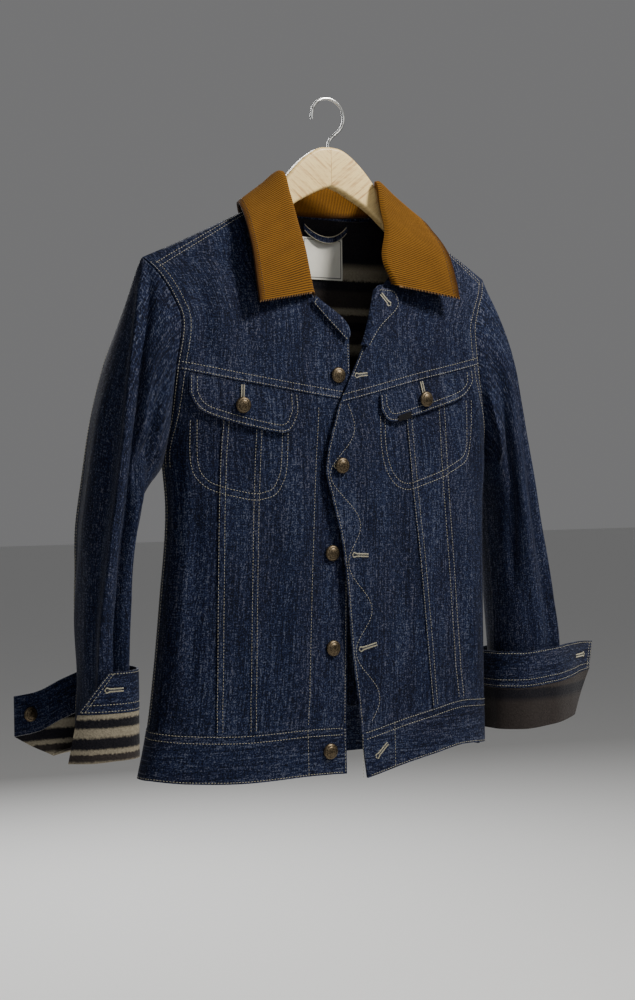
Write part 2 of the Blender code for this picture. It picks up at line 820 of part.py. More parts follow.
def sleeve_point(step, angle, right):
    """Outer surface of a sleeve at a step down and an angle round from its outer line."""
    table = SLEEVE_RIGHT if right else SLEEVE_LEFT
    turn = math.radians(angle)
    outer = Vector((table(step, "outer_x"), 0.0, table(step, "outer_z")))
    inner = Vector((table(step, "inner_x"), 0.0, table(step, "inner_z")))
    power = 2 / SLEEVE_POWER
    along = math.copysign(abs(math.cos(turn)) ** power, math.cos(turn))
    deep = math.copysign(abs(math.sin(turn)) ** power, math.sin(turn))
    ring = (outer + inner) / 2 + (outer - inner) / 2 * along
    ring.y = table(step, "middle") - table(step, "half") * deep
    share = ease(step / 1.6)
    return armhole_point(angle, right).lerp(ring, share)


def sleeve_skin(step, angle, lift, right):
    """A point lifted off the sleeve's outer surface."""
    here = sleeve_point(step, angle, right)
    ahead = sleeve_point(min(step + 0.1, 9), angle, right)
    behind = sleeve_point(max(step - 0.1, 0), angle, right)
    round_way = sleeve_point(step, angle + 3, right) - sleeve_point(step, angle - 3, right)
    level = Vector((1.0 if right else -1.0, 0.0, 0.0))
    down_way = level.lerp((ahead - behind).normalized(), ease(step))
    normal = down_way.cross(round_way).normalized()
    if not right:
        normal = -normal
    return here + normal * lift


def sleeve(collection, right):
    """Main sleeve piece, and the narrower under piece behind it."""
    side = "right" if right else "left"
    rows = [0, 0.3, 0.7, 1.1, 1.6, 2.2, 2.9, 3.6, 4.3, 5, 5.8, 6.6, 7.4, 8.2, 9]
    tip = TIP_RIGHT if right else TIP_LEFT
    seam_height = SHOULDER(tip, "seam_height")
    yoke_foot = yoke_side(1, right)
    front = [blend(TIP_HEIGHT, seam_height, 0.4)]
    front += [yoke_side(row, right) for row in FRONT_YOKE_ROWS]
    front += [blend(yoke_foot, ARMPIT, row) for row in PANEL_ARMHOLE_ROWS[1:]]
    back = [blend(TIP_HEIGHT, BACK_SEAM, row) for row in BACK_YOKE_ROWS[3:]]
    back += BACK_BODY_ROWS[1:5]
    front_angles = [armhole_angle(z) for z in front]
    back_angles = [-armhole_angle(z) for z in back]

    def form(angle, step, depth):
        return sleeve_skin(step, angle, -depth, right)

    main = [back_angles[BACK_SLEEVE_SEAM] + SEAM_TURN]
    main += back_angles[BACK_SLEEVE_SEAM - 1::-1] + [0.0] + front_angles
    main[-1] -= SEAM_TURN
    under = [back_angles[BACK_SLEEVE_SEAM] - SEAM_TURN] + back_angles[BACK_SLEEVE_SEAM + 1:]
    under[-1] += SEAM_TURN
    cloth(collection, "sleeve_" + side, main, rows, form, DENIM, "denim")
    cloth(collection, "under_sleeve_" + side, under, rows, form, DENIM, "denim")


def cuff_point(table, step, z, lift):
    """A point off the outer face of a turned-back sleeve end, in plan."""
    here = Vector((table(step, "across"), table(step, "depth"), z))
    after, before = min(step + 0.1, 9), max(step - 0.1, 0)
    way = Vector((table(after, "across") - table(before, "across"),
                  table(after, "depth") - table(before, "depth"), 0)).normalized()
    return here + Vector((way.y, -way.x, 0)) * lift


def sleeve_end_below(point, right, depth):
    """The place just under the sleeve's end that is nearest to a point on the cuff's foot."""
    table = SLEEVE_RIGHT if right else SLEEVE_LEFT
    middle = (table(9, "outer_x") + table(9, "inner_x")) / 2
    reach = (table(9, "outer_x") - table(9, "inner_x")) / 2
    turn = math.atan2((table(9, "middle") - point.y) / table(9, "half"),
                      (point.x - middle) / reach)
    angle = math.degrees(turn)
    end = sleeve_skin(9, angle, -0.6, right)
    return Vector((end.x, end.y, table(9, "outer_z") - 0.3 - LINING + depth))


def turned_cuff(collection, side, table, foot, trims, outward):
    """Lining side of the turned-back sleeve end, with the cuff band above it."""
    shares = steps(0.0, 1.0, 20)
    seam = foot + CUFF_LINING_HEIGHT

    def step_at(share, row, low, high):
        start = blend(trims[low][0], trims[high][0], row)
        end = blend(trims[low][1], trims[high][1], row)
        return blend(start, end, share)

    def lining_form(share, row, depth):
        step = step_at(share, max(row, 0.0), "foot", "middle")
        z = blend(foot + table(step, "foot"), seam + table(step, "middle"), max(row, 0.0))
        if row < 0:
            return sleeve_end_below(cuff_point(table, step, z, 0.0), side == "right", depth)
        raised = Vector((0, 0, depth if row == 0 else 0.0))
        return cuff_point(table, step, z, -depth * outward) + raised

    def band_form(share, row, depth):
        step = step_at(share, row, "middle", "top")
        low, high = seam + SEAM_GAP * 2, seam + CUFF_BAND_HEIGHT
        z = blend(low + table(step, "middle"), high + table(step, "top"), row)
        return cuff_point(table, step, z, (0.4 - depth) * outward)

    cloth(collection, "cuff_lining_" + side, shares, [-1.0, 0.0, 0.35, 0.7, 1.0], lining_form,
          LINING, "blanket")
    cloth(collection, "cuff_band_" + side, shares, [0.0, 0.5, 1.0], band_form,
          DENIM, "denim")


# ---------------------------------------------------------------- inside the neck

def back_lining(collection):
    """Blanket lining inside the back, as far down as the body hides it."""
    columns = [-150, -115, -84, -62, -42, -20, 0, 20, 42, 62, 84, 112, 140]
    rows = [0.05, 0.1, 0.22, 0.4, 0.6, 0.8, 1.0, 1.25]

    def form(column, row, depth):
        z = blend(crest(column, True)[1], BACK_SEAM, row)
        return body_skin(column, z, -DENIM - LINING_GAP - depth, back=True)

    cloth(collection, "back_lining", columns, rows, form, LINING, "blanket")


def inside_neck_point(x, z, lift):
    """A point off the inner face of the back lining."""
    return body_skin(x, z, -DENIM - LINING_GAP - LINING - lift, back=True)


def neck_trims(collection):
    """Plain label and hanging loop on the lining under the neck seam."""
    label_left, label_right = -13.0, 38.0
    label_top, label_foot = -144.0, -190.0

    def label_form(column, row, depth):
        return inside_neck_point(blend(label_left, label_right, column),
                                 blend(label_top, label_foot, row), 0.9 + depth)

    cloth(collection, "neck_label", steps(0, 1, 5), steps(0, 1, 4), label_form, 1.0, "label")

    loop_left, loop_right = -12.0, 44.0
    loop_top, loop_sag, loop_width = -127.5, 16.0, 7.0

    def loop_form(column, row, depth):
        x = blend(loop_left, loop_right, column)
        hang = loop_sag * math.sin(math.pi * column) ** 0.7
        z = loop_top - hang - row * loop_width
        out = 1.2 + 5.0 * math.sin(math.pi * column)
        return inside_neck_point(x, z, out + depth)

    cloth(collection, "hanging_loop", steps(0, 1, 12), [0.0, 1.0], loop_form, 1.6, "denim")


def flap_tab(collection):
    """Plain woven tab caught in the lower edge of the right flap."""
    middle, width, height, sits = 61.0, 17.0, 6.5, 0.6

    def form(column, row, depth):
        x = middle + (column - 0.5) * width
        share = (FLAP_RIGHT[0] - x) / (FLAP_RIGHT[0] - FLAP_RIGHT[1])
        foot = YOKE_SEAM_RIGHT(x, "height") - FLAP_BELOW_SEAM
        foot -= FLAP_DEPTH(share, "depth") * FLAP_RIGHT[2]
        z = foot + (1 - row) * height - 1.0
        return front_skin(x, z, FLAP_STAND(1, "stand") + sits + 0.9 - depth, True)

    cloth(collection, "flap_tab", [0.0, 0.5, 1.0], [0.0, 1.0], form, 0.9, "label")


# ---------------------------------------------------------------- buttons

def button(collection, name, seat, outward, radius):
    """A domed shank button turned about the normal of the cloth that it sits on."""
    height = BUTTON_HEIGHT * radius / BUTTON_RADIUS
    profile = (
        (0.0, height),
        (0.45 * radius, 0.93 * height),
        (0.8 * radius, 0.72 * height),
        (radius, 0.45 * height),
        (0.97 * radius, 0.3 * height),
        (0.5 * radius, 0.26 * height),
        (0.34 * radius, 0.0),
        (0.0, 0.0),
    )
    bm = bmesh.new()
    verts = [bm.verts.new((r * MM, 0.0, h * MM)) for r, h in profile]
    edges = [bm.edges.new(pair) for pair in zip(verts, verts[1:])]
    bmesh.ops.spin(bm, geom=verts + edges, cent=(0, 0, 0), axis=(0, 0, 1),
                   angle=2 * math.pi, steps=14, use_merge=True)
    bmesh.ops.remove_doubles(bm, verts=bm.verts[:], dist=0.00001)
    turn = outward.to_track_quat("Z", "Y").to_matrix().to_4x4()
    bmesh.ops.transform(bm, matrix=turn, verts=bm.verts[:])
    bmesh.ops.translate(bm, vec=seat * MM, verts=bm.verts[:])
    add_object(collection, name, bm, "antique_brass")


def buttons(collection):
    """Front and flap buttons on the cloth, and the cuffs' buttons inside their far ends."""
    for name, x, z, right in BUTTONS:
        lift = 1.0 if z < -680 else 0.3
        seat = front_skin(x, z, lift, right)
        button(collection, name, seat, front_skin(x, z, lift + 5, right) - seat, BUTTON_RADIUS)
    for name, x, z in FLAP_BUTTONS:
        right = x > 0
        stand = FLAP_STAND(0.6, "stand") + 0.4
        seat = front_skin(x, z, stand, right)
        ahead = front_skin(x, z, stand + 5, right)
        button(collection, name, seat, ahead - seat, BUTTON_RADIUS)
    far, under = 8.4, -DENIM - 0.5
    for side, table, foot, outward in CUFFS:
        z = foot + CUFF_LINING_HEIGHT + CUFF_BAND_HEIGHT * 0.5 + table(far, "middle")
        seat = cuff_point(table, far, z, under * outward)
        ahead = cuff_point(table, far, z, (under - 5) * outward)
        button(collection, "cuff_button_" + side, seat, ahead - seat, CUFF_BUTTON_RADIUS)


# ---------------------------------------------------------------- hanger

def hanger_arm(collection, right):
    """One wooden arm, cut to its outline and rounded along its edges."""
    outward = 1.0 if right else -1.0
    joint = 0.2
    outs = [joint, 14, 28, 42, 56, 70, 84, 97, 110, 130, 150, 162, 174]
    outline = [(outward * o, HANGER(o, "top")) for o in outs]
    outline += [(outward * o, HANGER(o, "bottom")) for o in reversed(outs)]
    bm = bmesh.new()
    half = HANGER_THICKNESS / 2
    ring = [bm.verts.new((x * MM, -half * MM, z * MM)) for x, z in outline]
    face = bm.faces.new(ring)
    raised = bmesh.ops.extrude_face_region(bm, geom=[face], use_keep_orig=True)
    back = [g for g in raised["geom"] if isinstance(g, bmesh.types.BMVert)]
    bmesh.ops.translate(bm, vec=(0, HANGER_THICKNESS * MM, 0), verts=back)
    joint_edge = abs(joint * MM) * 1.5
    rounded = [e for e in bm.edges if len({round(v.co.y, 6) for v in e.verts}) == 1
               and max(abs(v.co.x) for v in e.verts) > joint_edge]
    bmesh.ops.bevel(bm, geom=rounded, offset=3.6 * MM, affect="EDGES", segments=2,
                    profile=0.5, material=-1)
    bmesh.ops.triangulate(bm, faces=[f for f in bm.faces if len(f.verts) > 4])
    add_object(collection, "hanger_arm_" + ("right" if right else "left"), bm, "wood")


def hanger_hook(collection):
    """Bent wire hook that stands in the top of the arms."""
    curve = bpy.data.curves.new("hanger_hook", "CURVE")
    curve.dimensions = "3D"
    curve.bevel_depth = HOOK_WIRE / 2 * MM
    curve.bevel_resolution = 2
    curve.use_fill_caps = True
    centre = HOOK_WIRE / 2 - HOOK_RADIUS
    foot = HANGER(0, "top") + 0.3
    route = [(0.0, foot), (0.0, foot + 2.5), (0.8, foot + 6.0), (3.4, foot + 10.0)]
    for degrees in range(-48, 200, 16):
        turn = math.radians(degrees)
        route.append((HOOK_RADIUS * math.cos(turn), centre + HOOK_RADIUS * math.sin(turn)))
    spline = curve.splines.new("POLY")
    spline.points.add(len(route) - 1)
    for point, (x, z) in zip(spline.points, route):
        point.co = (x * MM, 0.0, z * MM, 1.0)
    guide = bpy.data.objects.new("hook_route", curve)
    collection.objects.link(guide)
    shape = guide.evaluated_get(bpy.context.evaluated_depsgraph_get())
    mesh = bpy.data.meshes.new_from_object(shape)
    bm = bmesh.new()
    bm.from_mesh(mesh)
    bpy.data.objects.remove(guide, do_unlink=True)
    bmesh.ops.remove_doubles(bm, verts=bm.verts[:], dist=0.00001)
    add_object(collection, "hanger_hook", bm, "steel")


def main():
    collection = empty_scene()
    back_yoke(collection)
    back_body(collection)
    for right in (False, True):
        front_yoke(collection, right)
        front_panel(collection, right)
        sleeve(collection, right)
        lapel(collection, right)
        hanger_arm(collection, right)
    waistbands(collection)
    pocket_flap(collection, "left", FLAP_LEFT, False)
    pocket_flap(collection, "right", FLAP_RIGHT, True)
    collar(collection)
    for side, table, foot, outward in CUFFS:
        turned_cuff(collection, side, table, foot, CUFF_ENDS[side], outward)
    back_lining(collection)
    neck_trims(collection)
    flap_tab(collection)
    buttons(collection)
    hanger_hook(collection)


main()
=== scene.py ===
"""Looks of the western denim jacket on its wooden hanger.

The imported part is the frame: origin where the hook rests, +Z up, the fronts face -Y, and +X is the
side with the buttonholes. Sizes in the tables and in the form functions are millimetres, and the
meshes are metres. Each piece of cloth is a grid in pattern space, bent to the garment's form.
"""
import functools
import math
import random

import bmesh
import bpy
import numpy as np
from bpy.props import FloatProperty, FloatVectorProperty, PointerProperty
from mathutils import Matrix, Vector, noise

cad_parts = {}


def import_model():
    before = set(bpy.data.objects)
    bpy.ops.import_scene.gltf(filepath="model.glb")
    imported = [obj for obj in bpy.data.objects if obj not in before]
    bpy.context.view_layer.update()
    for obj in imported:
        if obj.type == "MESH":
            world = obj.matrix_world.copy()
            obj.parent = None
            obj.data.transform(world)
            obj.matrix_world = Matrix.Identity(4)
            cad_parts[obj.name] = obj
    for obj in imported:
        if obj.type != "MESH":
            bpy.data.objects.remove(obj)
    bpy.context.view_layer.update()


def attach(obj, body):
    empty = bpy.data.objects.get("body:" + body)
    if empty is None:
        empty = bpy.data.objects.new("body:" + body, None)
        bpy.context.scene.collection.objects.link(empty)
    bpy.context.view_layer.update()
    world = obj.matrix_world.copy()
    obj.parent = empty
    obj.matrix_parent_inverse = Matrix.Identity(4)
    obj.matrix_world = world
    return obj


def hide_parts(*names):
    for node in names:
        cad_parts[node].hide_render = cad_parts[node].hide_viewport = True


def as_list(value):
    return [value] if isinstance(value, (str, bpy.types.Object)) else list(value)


bl_info = {
    "name": "Denim Jacket on a Hanger",
    "version": (1, 0, 0),
    "blender": (4, 5, 0),
    "location": "View3D > Sidebar > Jacket",
    "description": "Cloth, stitching, trims and hanger of a western denim jacket",
    "category": "Object",
}

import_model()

MM = 0.001
BODY_NAME = "root"

# Gaps between pieces of cloth, and how far from a free edge the cloth looks worn
LINING_GAP = 0.8
SEAM_GAP = 0.25
WEAR_REACH = 4.0

# Where the rows of topstitching lie, in from a seam
NEAR_ROW = 1.6
FAR_ROW = 8.2

# Body form
SECTION_POWER = 2.6
SHOULDER_ROLL = 110.0
NECK_HALF = 84.0
NECK_DEPTH = 44.0
NECK_TOP = -117.5
NECK_DIP = 4.0
TIP_LEFT = -223.0
TIP_RIGHT = 201.0
TIP_HEIGHT = -184.0
ARMPIT = -394.0
OVERLAP_LIFT = 5.0
BUTTON_FRONT_SINK = 4.0
CHEST = -420.0
WAISTBAND_HEIGHT = 50.0
BAND_LIFT = 0.6
BACK_SEAM = -292.0
BACK_BAND_TOP = -668.0
HOOK_RADIUS = 20.0


class Table:
    """A short table of named columns, read smoothly between its rows by its first column."""

    def __init__(self, names, *rows):
        self.names = names.split()
        self.rows = sorted(rows)

    def slope(self, row, column):
        """Gradient at one row, level where the column turns round."""
        low = self.rows[max(row - 1, 0)]
        high = self.rows[min(row + 1, len(self.rows) - 1)]
        here = self.rows[row]
        before = here[column] - low[column]
        after = high[column] - here[column]
        if low is not here and high is not here and before * after <= 0:
            return 0.0
        return (high[column] - low[column]) / (high[0] - low[0])

    @functools.lru_cache(maxsize=None)
    def __call__(self, key, name):
        column = self.names.index(name)
        key = min(max(key, self.rows[0][0]), self.rows[-1][0])
        row = 0
        while row < len(self.rows) - 2 and key > self.rows[row + 1][0]:
            row += 1
        start, end = self.rows[row], self.rows[row + 1]
        span = end[0] - start[0]
        t = (key - start[0]) / span
        rise = end[column] - start[column]
        slope_in = self.slope(row, column) * span
        slope_out = self.slope(row + 1, column) * span
        return (start[column] + slope_in * t + (3 * rise - 2 * slope_in - slope_out) * t * t
                + (slope_in + slope_out - 2 * rise) * t * t * t)


# The body at each height: its two sides, the depth of its edges, and of its front and back
BODY = Table(
    "height left right front_edge front back_edge back",
    (-184, -223, 201, -16, -34, 14, 45),
    (-198, -214, 193, -25, -36, 20, 46),
    (-208, -209, 187, -29, -38, 23, 46.5),
    (-222, -203.5, 177, -33, -41, 27, 47),
    (-251, -196.5, 166, -38, -43, 31, 49),
    (-298, -202, 171, -34, -45, 32, 50),
    (-345, -203, 184, -22, -46, 24, 50),
    (-394, -202, 195, -0.3, -46, 0.3, 49),
    (-440, -199, 191.5, -0.3, -46, 0.3, 48),
    (-540, -208, 189.5, -0.3, -47, 0.3, 46),
    (-640, -220, 188.5, -0.3, -49, 0.3, 44),
    (-680, -227, 188, -0.3, -49.5, 0.3, 43.5),
    (-730, -239, 188, -0.3, -50, 0.3, 43),
)

# Height of the shoulder ridge across the garment, and the shoulder seam that runs forward of it
SHOULDER = Table(
    "across ridge seam_across seam_height",
    (-223, -184, -214, -198), (-195, -171.5, -190, -183), (-155, -152.5, -152, -160),
    (-112, -131.5, -111, -135.3), (-84, -117.5, -84, -120.5), (-50, -106, -50, -109),
    (0, -100, 0, -103), (50, -106, 50, -109), (84, -117.5, 84, -120.5), (112, -132, 111, -135.8),
    (150, -154, 147, -161.5), (180, -171.5, 174.5, -182.5), (201, -184, 193, -198),
)

# Inner edge of each front, as a share of the way down the yoke
NECK_LEFT = Table(
    "down across height",
    (0.0, -84, -120.5), (0.15, -82, -131), (0.35, -75, -156), (0.55, -62, -188),
    (0.72, -46, -221), (0.88, -4, -263), (1.0, -5, -331),
)
NECK_RIGHT = Table(
    "down across height",
    (0.0, 84, -120.5), (0.15, 82, -131), (0.35, 75, -156), (0.52, 62, -184), (0.64, 45, -203),
    (0.72, 32, -210), (0.88, 11, -270), (1.0, -21, -334),
)

# Turned-out edge of each lapel, and where on the neck line its roll starts and ends
LAPEL_LEFT = Table(
    "row neck across height",
    (0.0, 0.725, -50, -226.5), (0.5, 0.8, -29.5, -247), (1.0, 0.87, -8, -267),
)
LAPEL_RIGHT = Table(
    "row neck across height",
    (0.0, 0.722, 54, -210), (0.28, 0.77, 60, -224), (0.7, 0.84, 31, -252), (1.0, 0.885, 14, -274),
)
LAPEL_ROLL = (
    # share from the roll to the edge, how far into the opening, stand off the front, and the turn
    (0.0, 0.6, 0.0, 180.0), (0.0, 1.15, 0.35, 135.0), (0.0, 1.4, 0.8, 90.0),
    (0.02, 0.85, 1.3, 50.0), (0.04, 0.0, 1.7, 20.0), (0.2, 0.0, 3.2, 0.0), (0.4, 0.0, 3.4, 0.0),
    (0.6, 0.0, 3.2, 0.0), (0.8, 0.0, 2.8, 0.0), (1.0, 0.0, 2.2, 0.0),
)

LAPEL_STAND = Table(
    "share stand",
    (0.04, 1.7), (0.2, 3.2), (0.6, 3.2), (1.0, 2.2),
)

# Seam between yoke and panel, read across the garment
YOKE_SEAM = Table(
    "across height",
    (-223, -298), (-202, -301), (-130, -313), (-70, -322), (-5, -331),
)
YOKE_SEAM_RIGHT = Table(
    "across height",
    (-30, -336), (35, -320), (82, -308), (130, -297), (172, -287), (200, -283),
)

# Top of the waistband, read across each front
BAND_LEFT = Table(
    "across height",
    (-232, -668), (-200, -672), (-130, -676), (-66, -675), (-17, -677),
)
BAND_RIGHT = Table(
    "across height",
    (-4, -684), (38, -676), (95, -666), (140, -660), (190, -664),
)

# Front edges below the yoke: the buttonhole front curves where it pulls open
EDGE_RIGHT = Table(
    "height across",
    (-330, -20), (-373, -33), (-404, -38), (-436, -31), (-479, -21), (-543, -15), (-596, -12),
    (-649, -6), (-684, -3), (-737, 4),
)
EDGE_LEFT = Table(
    "height across",
    (-331, -5), (-500, -10), (-678, -17), (-728, -17.3),
)

# Lines down the front panels at yoke and waistband, and how far the cloth is raised there; the
# last two are measured in from the side
PANEL_LEFT = (
    ("edge", -5, -17, 0),
    ("placket", -46, -64, 0),
    ("field", -84, -98, 0),
    ("pleat foot", -108.2, -124.6, 0),
    ("pleat fold", -109.3, -125.7, 1.5),
    ("pleat top", -111.8, -128.2, 1.7),
    ("pleat rise", -117.8, -134.2, 0.3),
    ("field", -131, -147, 0),
    ("pleat rise", -143.7, -159.5, 0.3),
    ("pleat top", -149.7, -165.5, 1.7),
    ("pleat fold", -152.2, -168, 1.5),
    ("pleat foot", -153.3, -169.1, 0),
    ("field", -172, -186, 0),
    ("side", 13, 14, 0),
    ("side", 5.5, 5.5, 0),
    ("side", 0, 0, 0),
)
PANEL_RIGHT = (
    ("edge", -20, -3, 0),
    ("placket", 22, 38, 0),
    ("field", 48, 68, 0),
    ("pleat foot", 62.1, 93.1, 0),
    ("pleat fold", 63.2, 94.2, 1.5),
    ("pleat top", 65.7, 96.7, 1.7),
    ("pleat rise", 71.7, 102.7, 0.3),
    ("field", 90, 117, 0),
    ("pleat rise", 106.2, 131.4, 0.3),
    ("pleat top", 112.2, 137.4, 1.7),
    ("pleat fold", 114.7, 139.9, 1.5),
    ("pleat foot", 115.8, 141, 0),
    ("field", 134, 160, 0),
    ("side", -13, -14, 0),
    ("side", -5.5, -5.5, 0),
    ("side", 0, 0, 0),
)

# Pocket flap: depth of its lower edge at each share of its width from the outer end, and for each
# flap its outer end, inner end and how deep it is against the table
FLAP_DEPTH = Table(
    "share depth",
    (0.0, 17), (0.05, 28), (0.13, 35), (0.3, 39), (0.57, 42), (0.8, 43), (0.93, 37), (1.0, 20),
)
FLAP_LEFT = (-191.0, -70.0, 1.0)
FLAP_RIGHT = (156.0, 29.5, 0.76)
FLAP_BELOW_SEAM = 3.5
FLAP_STAND = Table(
    "row stand",
    (0.0, 2.7), (0.3, 3.6), (0.65, 4.4), (1.0, 4.4),
)

# Collar from the left wing's end round the neck to the right wing's: neck seam, roll and outer
# edge. The step counts along the collar.
COLLAR = Table(
    "step neck_x neck_y neck_z roll_x roll_y roll_z edge_x edge_y edge_z",
    (0, -47, -43, -220, -52, -48, -218, -119, -57, -231),
    (1, -60, -38, -186, -57, -43, -176, -121, -53, -200),
    (2, -72, -31, -156, -61, -35, -146, -121, -44, -168),
    (3, -80, -19, -130, -65, -25, -112, -119, -27, -139),
    (4, -83.5, -5, -117, -67, -12, -87, -113, -3, -122),
    (5, -81, 14, -117.3, -75, 12, -97, -95, 27, -129),
    (6, -66, 30, -118.5, -64, 34, -96, -76, 50, -138),
    (7, -38, 41, -120.3, -38, 47, -88, -46, 63, -147),
    (8, 0, 46, -121, 0, 52, -86, 0, 67, -150),
    (9, 38, 41, -120.3, 38, 47, -88, 46, 63, -147),
    (10, 66, 30, -118.5, 62, 34, -94, 78, 50, -138),
    (11, 81, 14, -117.3, 68, 12, -94, 98, 28, -130),
    (12, 84, -5.5, -117, 55, -11, -88, 112, -2, -124),
    (13, 80, -19, -130, 54, -22, -117, 121, -22, -142),
    (14, 71, -31, -156, 53, -32, -146, 126, -43, -168),
    (15, 62, -37, -182, 44, -41, -176, 129, -52, -196),
    (16, 50, -41, -200, 55, -49, -206, 130, -57, -217),
)

# Sleeves from the armhole down: outer and inner line, middle depth and half depth
SLEEVE_LEFT = Table(
    "step outer_x outer_z inner_x inner_z middle half",
    (0, -233, -200, -206, -402, 0, 40),
    (1, -237, -224, -212, -408, 2, 42),
    (2, -254, -278, -224, -420, 4, 46),
    (3, -270, -345, -236, -437, 5, 50),
    (4, -281, -413, -243, -463, 4, 51),
    (5, -293, -478, -250, -505, 1, 49),
    (6, -299, -543, -255, -556, -3, 46),
    (7, -300, -604, -256, -609, -6, 42),
    (8, -301, -645, -256, -646, -6, 40),
    (9, -302, -681, -255, -681, -5, 39),
)
SLEEVE_RIGHT = Table(
    "step outer_x outer_z inner_x inner_z middle half",
    (0, 209, -200, 198, -402, 0, 40),
    (1, 215, -224, 201, -408, 4, 43),
    (2, 228, -278, 204, -420, 8, 45),
    (3, 241, -345, 208, -437, 9, 47),
    (4, 252, -413, 210, -463, 7, 46),
    (5, 263, -478, 210, -505, 3, 44),
    (6, 277, -543, 209, -558, -2, 41),
    (7, 289, -608, 207, -613, -6, 38),
    (8, 290, -652, 204, -655, -8, 35),
    (9, 290, -690, 201, -690, -8, 34),
)
SLEEVE_POWER = 2.3
ARMHOLE_GAP = 0.6
SEAM_TURN = 0.15

# Where the sleeve's back seam meets the armhole, between the shoulder tip and the back yoke's seam
SLEEVE_SEAM_SHARE = 0.4

# Plan of each turned-back sleeve end, from its near end round the arm to its far end, and how much
# higher than level its top, its middle seam and its foot run
CUFF_LEFT = Table(
    "step across depth top middle foot",
    (0, -331, -34, 0, 0, -1), (1, -308, -50, 0, 0, -1), (2, -280, -54, 0, 0, 0),
    (3, -256, -44, 0, 0, 0), (4, -246, -12, 0, 0, 0), (5, -251, 24, 0, 0, 0),
    (6, -272, 42, -4, -4, 0), (7, -300, 47, -14, -14, -3), (8, -326, 48, -25, -25, -8),
    (9, -353, 44, -28, -28, -12),
)
CUFF_RIGHT = Table(
    "step across depth top middle foot",
    (0, 350, -6, 2, 10, 16), (1, 322, -20, 4, 9, 12), (2, 290, -40, 5, 6, 7),
    (3, 255, -52, 3, 3, 3), (4, 215, -49, 0, 0, 0), (5, 193, -24, 0, 0, 0), (6, 195, 10, 0, 0, 0),
    (7, 222, 38, 0, 0, 0), (8, 256, 43, 2, 2, 2), (9, 290, 44, 4, 4, 4),
)
CUFF_BAND_HEIGHT = 41.0
CUFF_LINING_HEIGHT = 46.5
CUFF_BUTTON_STEP = 8.4

# Each cuff: its side, plan, the height of its foot, and which way round its plan runs
CUFFS = (
    ("left", CUFF_LEFT, -688.0, 1.0),
    ("right", CUFF_RIGHT, -699.0, -1.0),
)

# Where on its plan each edge of a cuff starts and stops
CUFF_ENDS = {
    "left": {"foot": (0.15, 7.4), "middle": (0.5, 9.0), "top": (1.65, 9.0)},
    "right": {"foot": (1.7, 8.0), "middle": (0.3, 9.0), "top": (0.0, 9.0)},
}

# Hanger arm, read outwards from the centre: top and bottom edge
HANGER = Table(
    "out top bottom",
    (0, -52, -95), (14, -54, -100), (28, -62, -107), (42, -74, -114.5), (56, -90, -124),
    (70, -108, -136), (84, -122.5, -148), (110, -135.5, -160), (150, -158, -179),
    (174, -173, -191),
)

BUTTONS = (
    # name, across, height, on the buttonhole front
    ("front_button_2", -20.0, -304.0, False),
    ("front_button_3", -20.5, -400.0, True),
    ("front_button_4", -29.5, -492.5, False),
    ("front_button_5", -32.0, -593.0, False),
    ("front_button_6", -39.5, -701.0, False),
)
FLAP_BUTTONS = (
    ("flap_button_left", -135.0, -337.0),
    ("flap_button_right", 89.0, -328.0),
)


# --- sizes and colours

def millimetres(name, value, description):
    return FloatProperty(name=name, description=description, default=value * MM, unit="LENGTH")


def colour(name, value, description):
    return FloatVectorProperty(name=name, description=description, default=value, size=3,
                               subtype="COLOR", min=0.0, max=1.0)


class JacketSizes(bpy.types.PropertyGroup):
    """Sizes that a maker would change."""
    denim: millimetres("Denim", 2.0, "Wall of the single denim")
    double_denim: millimetres("Waistband", 3.0, "Wall of the folded waistband")
    corduroy: millimetres("Corduroy", 2.6, "Wall of the collar between its wales")
    lining: millimetres("Lining", 2.4, "Wall of the wool lining")
    wale: millimetres("Wale", 2.1, "Distance from one wale of the corduroy to the next")
    wale_height: millimetres("Wale height", 0.42, "How far each wale stands up")
    stitch: millimetres("Stitch", 2.4, "Length of one topstitch")
    stitch_gap: millimetres("Stitch gap", 0.9, "Gap from one topstitch to the next")
    thread: millimetres("Thread", 0.6, "Thickness of the topstitching thread")
    button: millimetres("Button", 8.5, "Radius of the front buttons")
    button_height: millimetres("Button height", 6.0, "Height of the front buttons")
    cuff_button: millimetres("Cuff button", 7.5, "Radius of the cuff buttons")
    hanger: millimetres("Hanger", 13.0, "Thickness of the hanger's arms")
    hook_wire: millimetres("Hook wire", 3.6, "Thickness of the hook's wire")


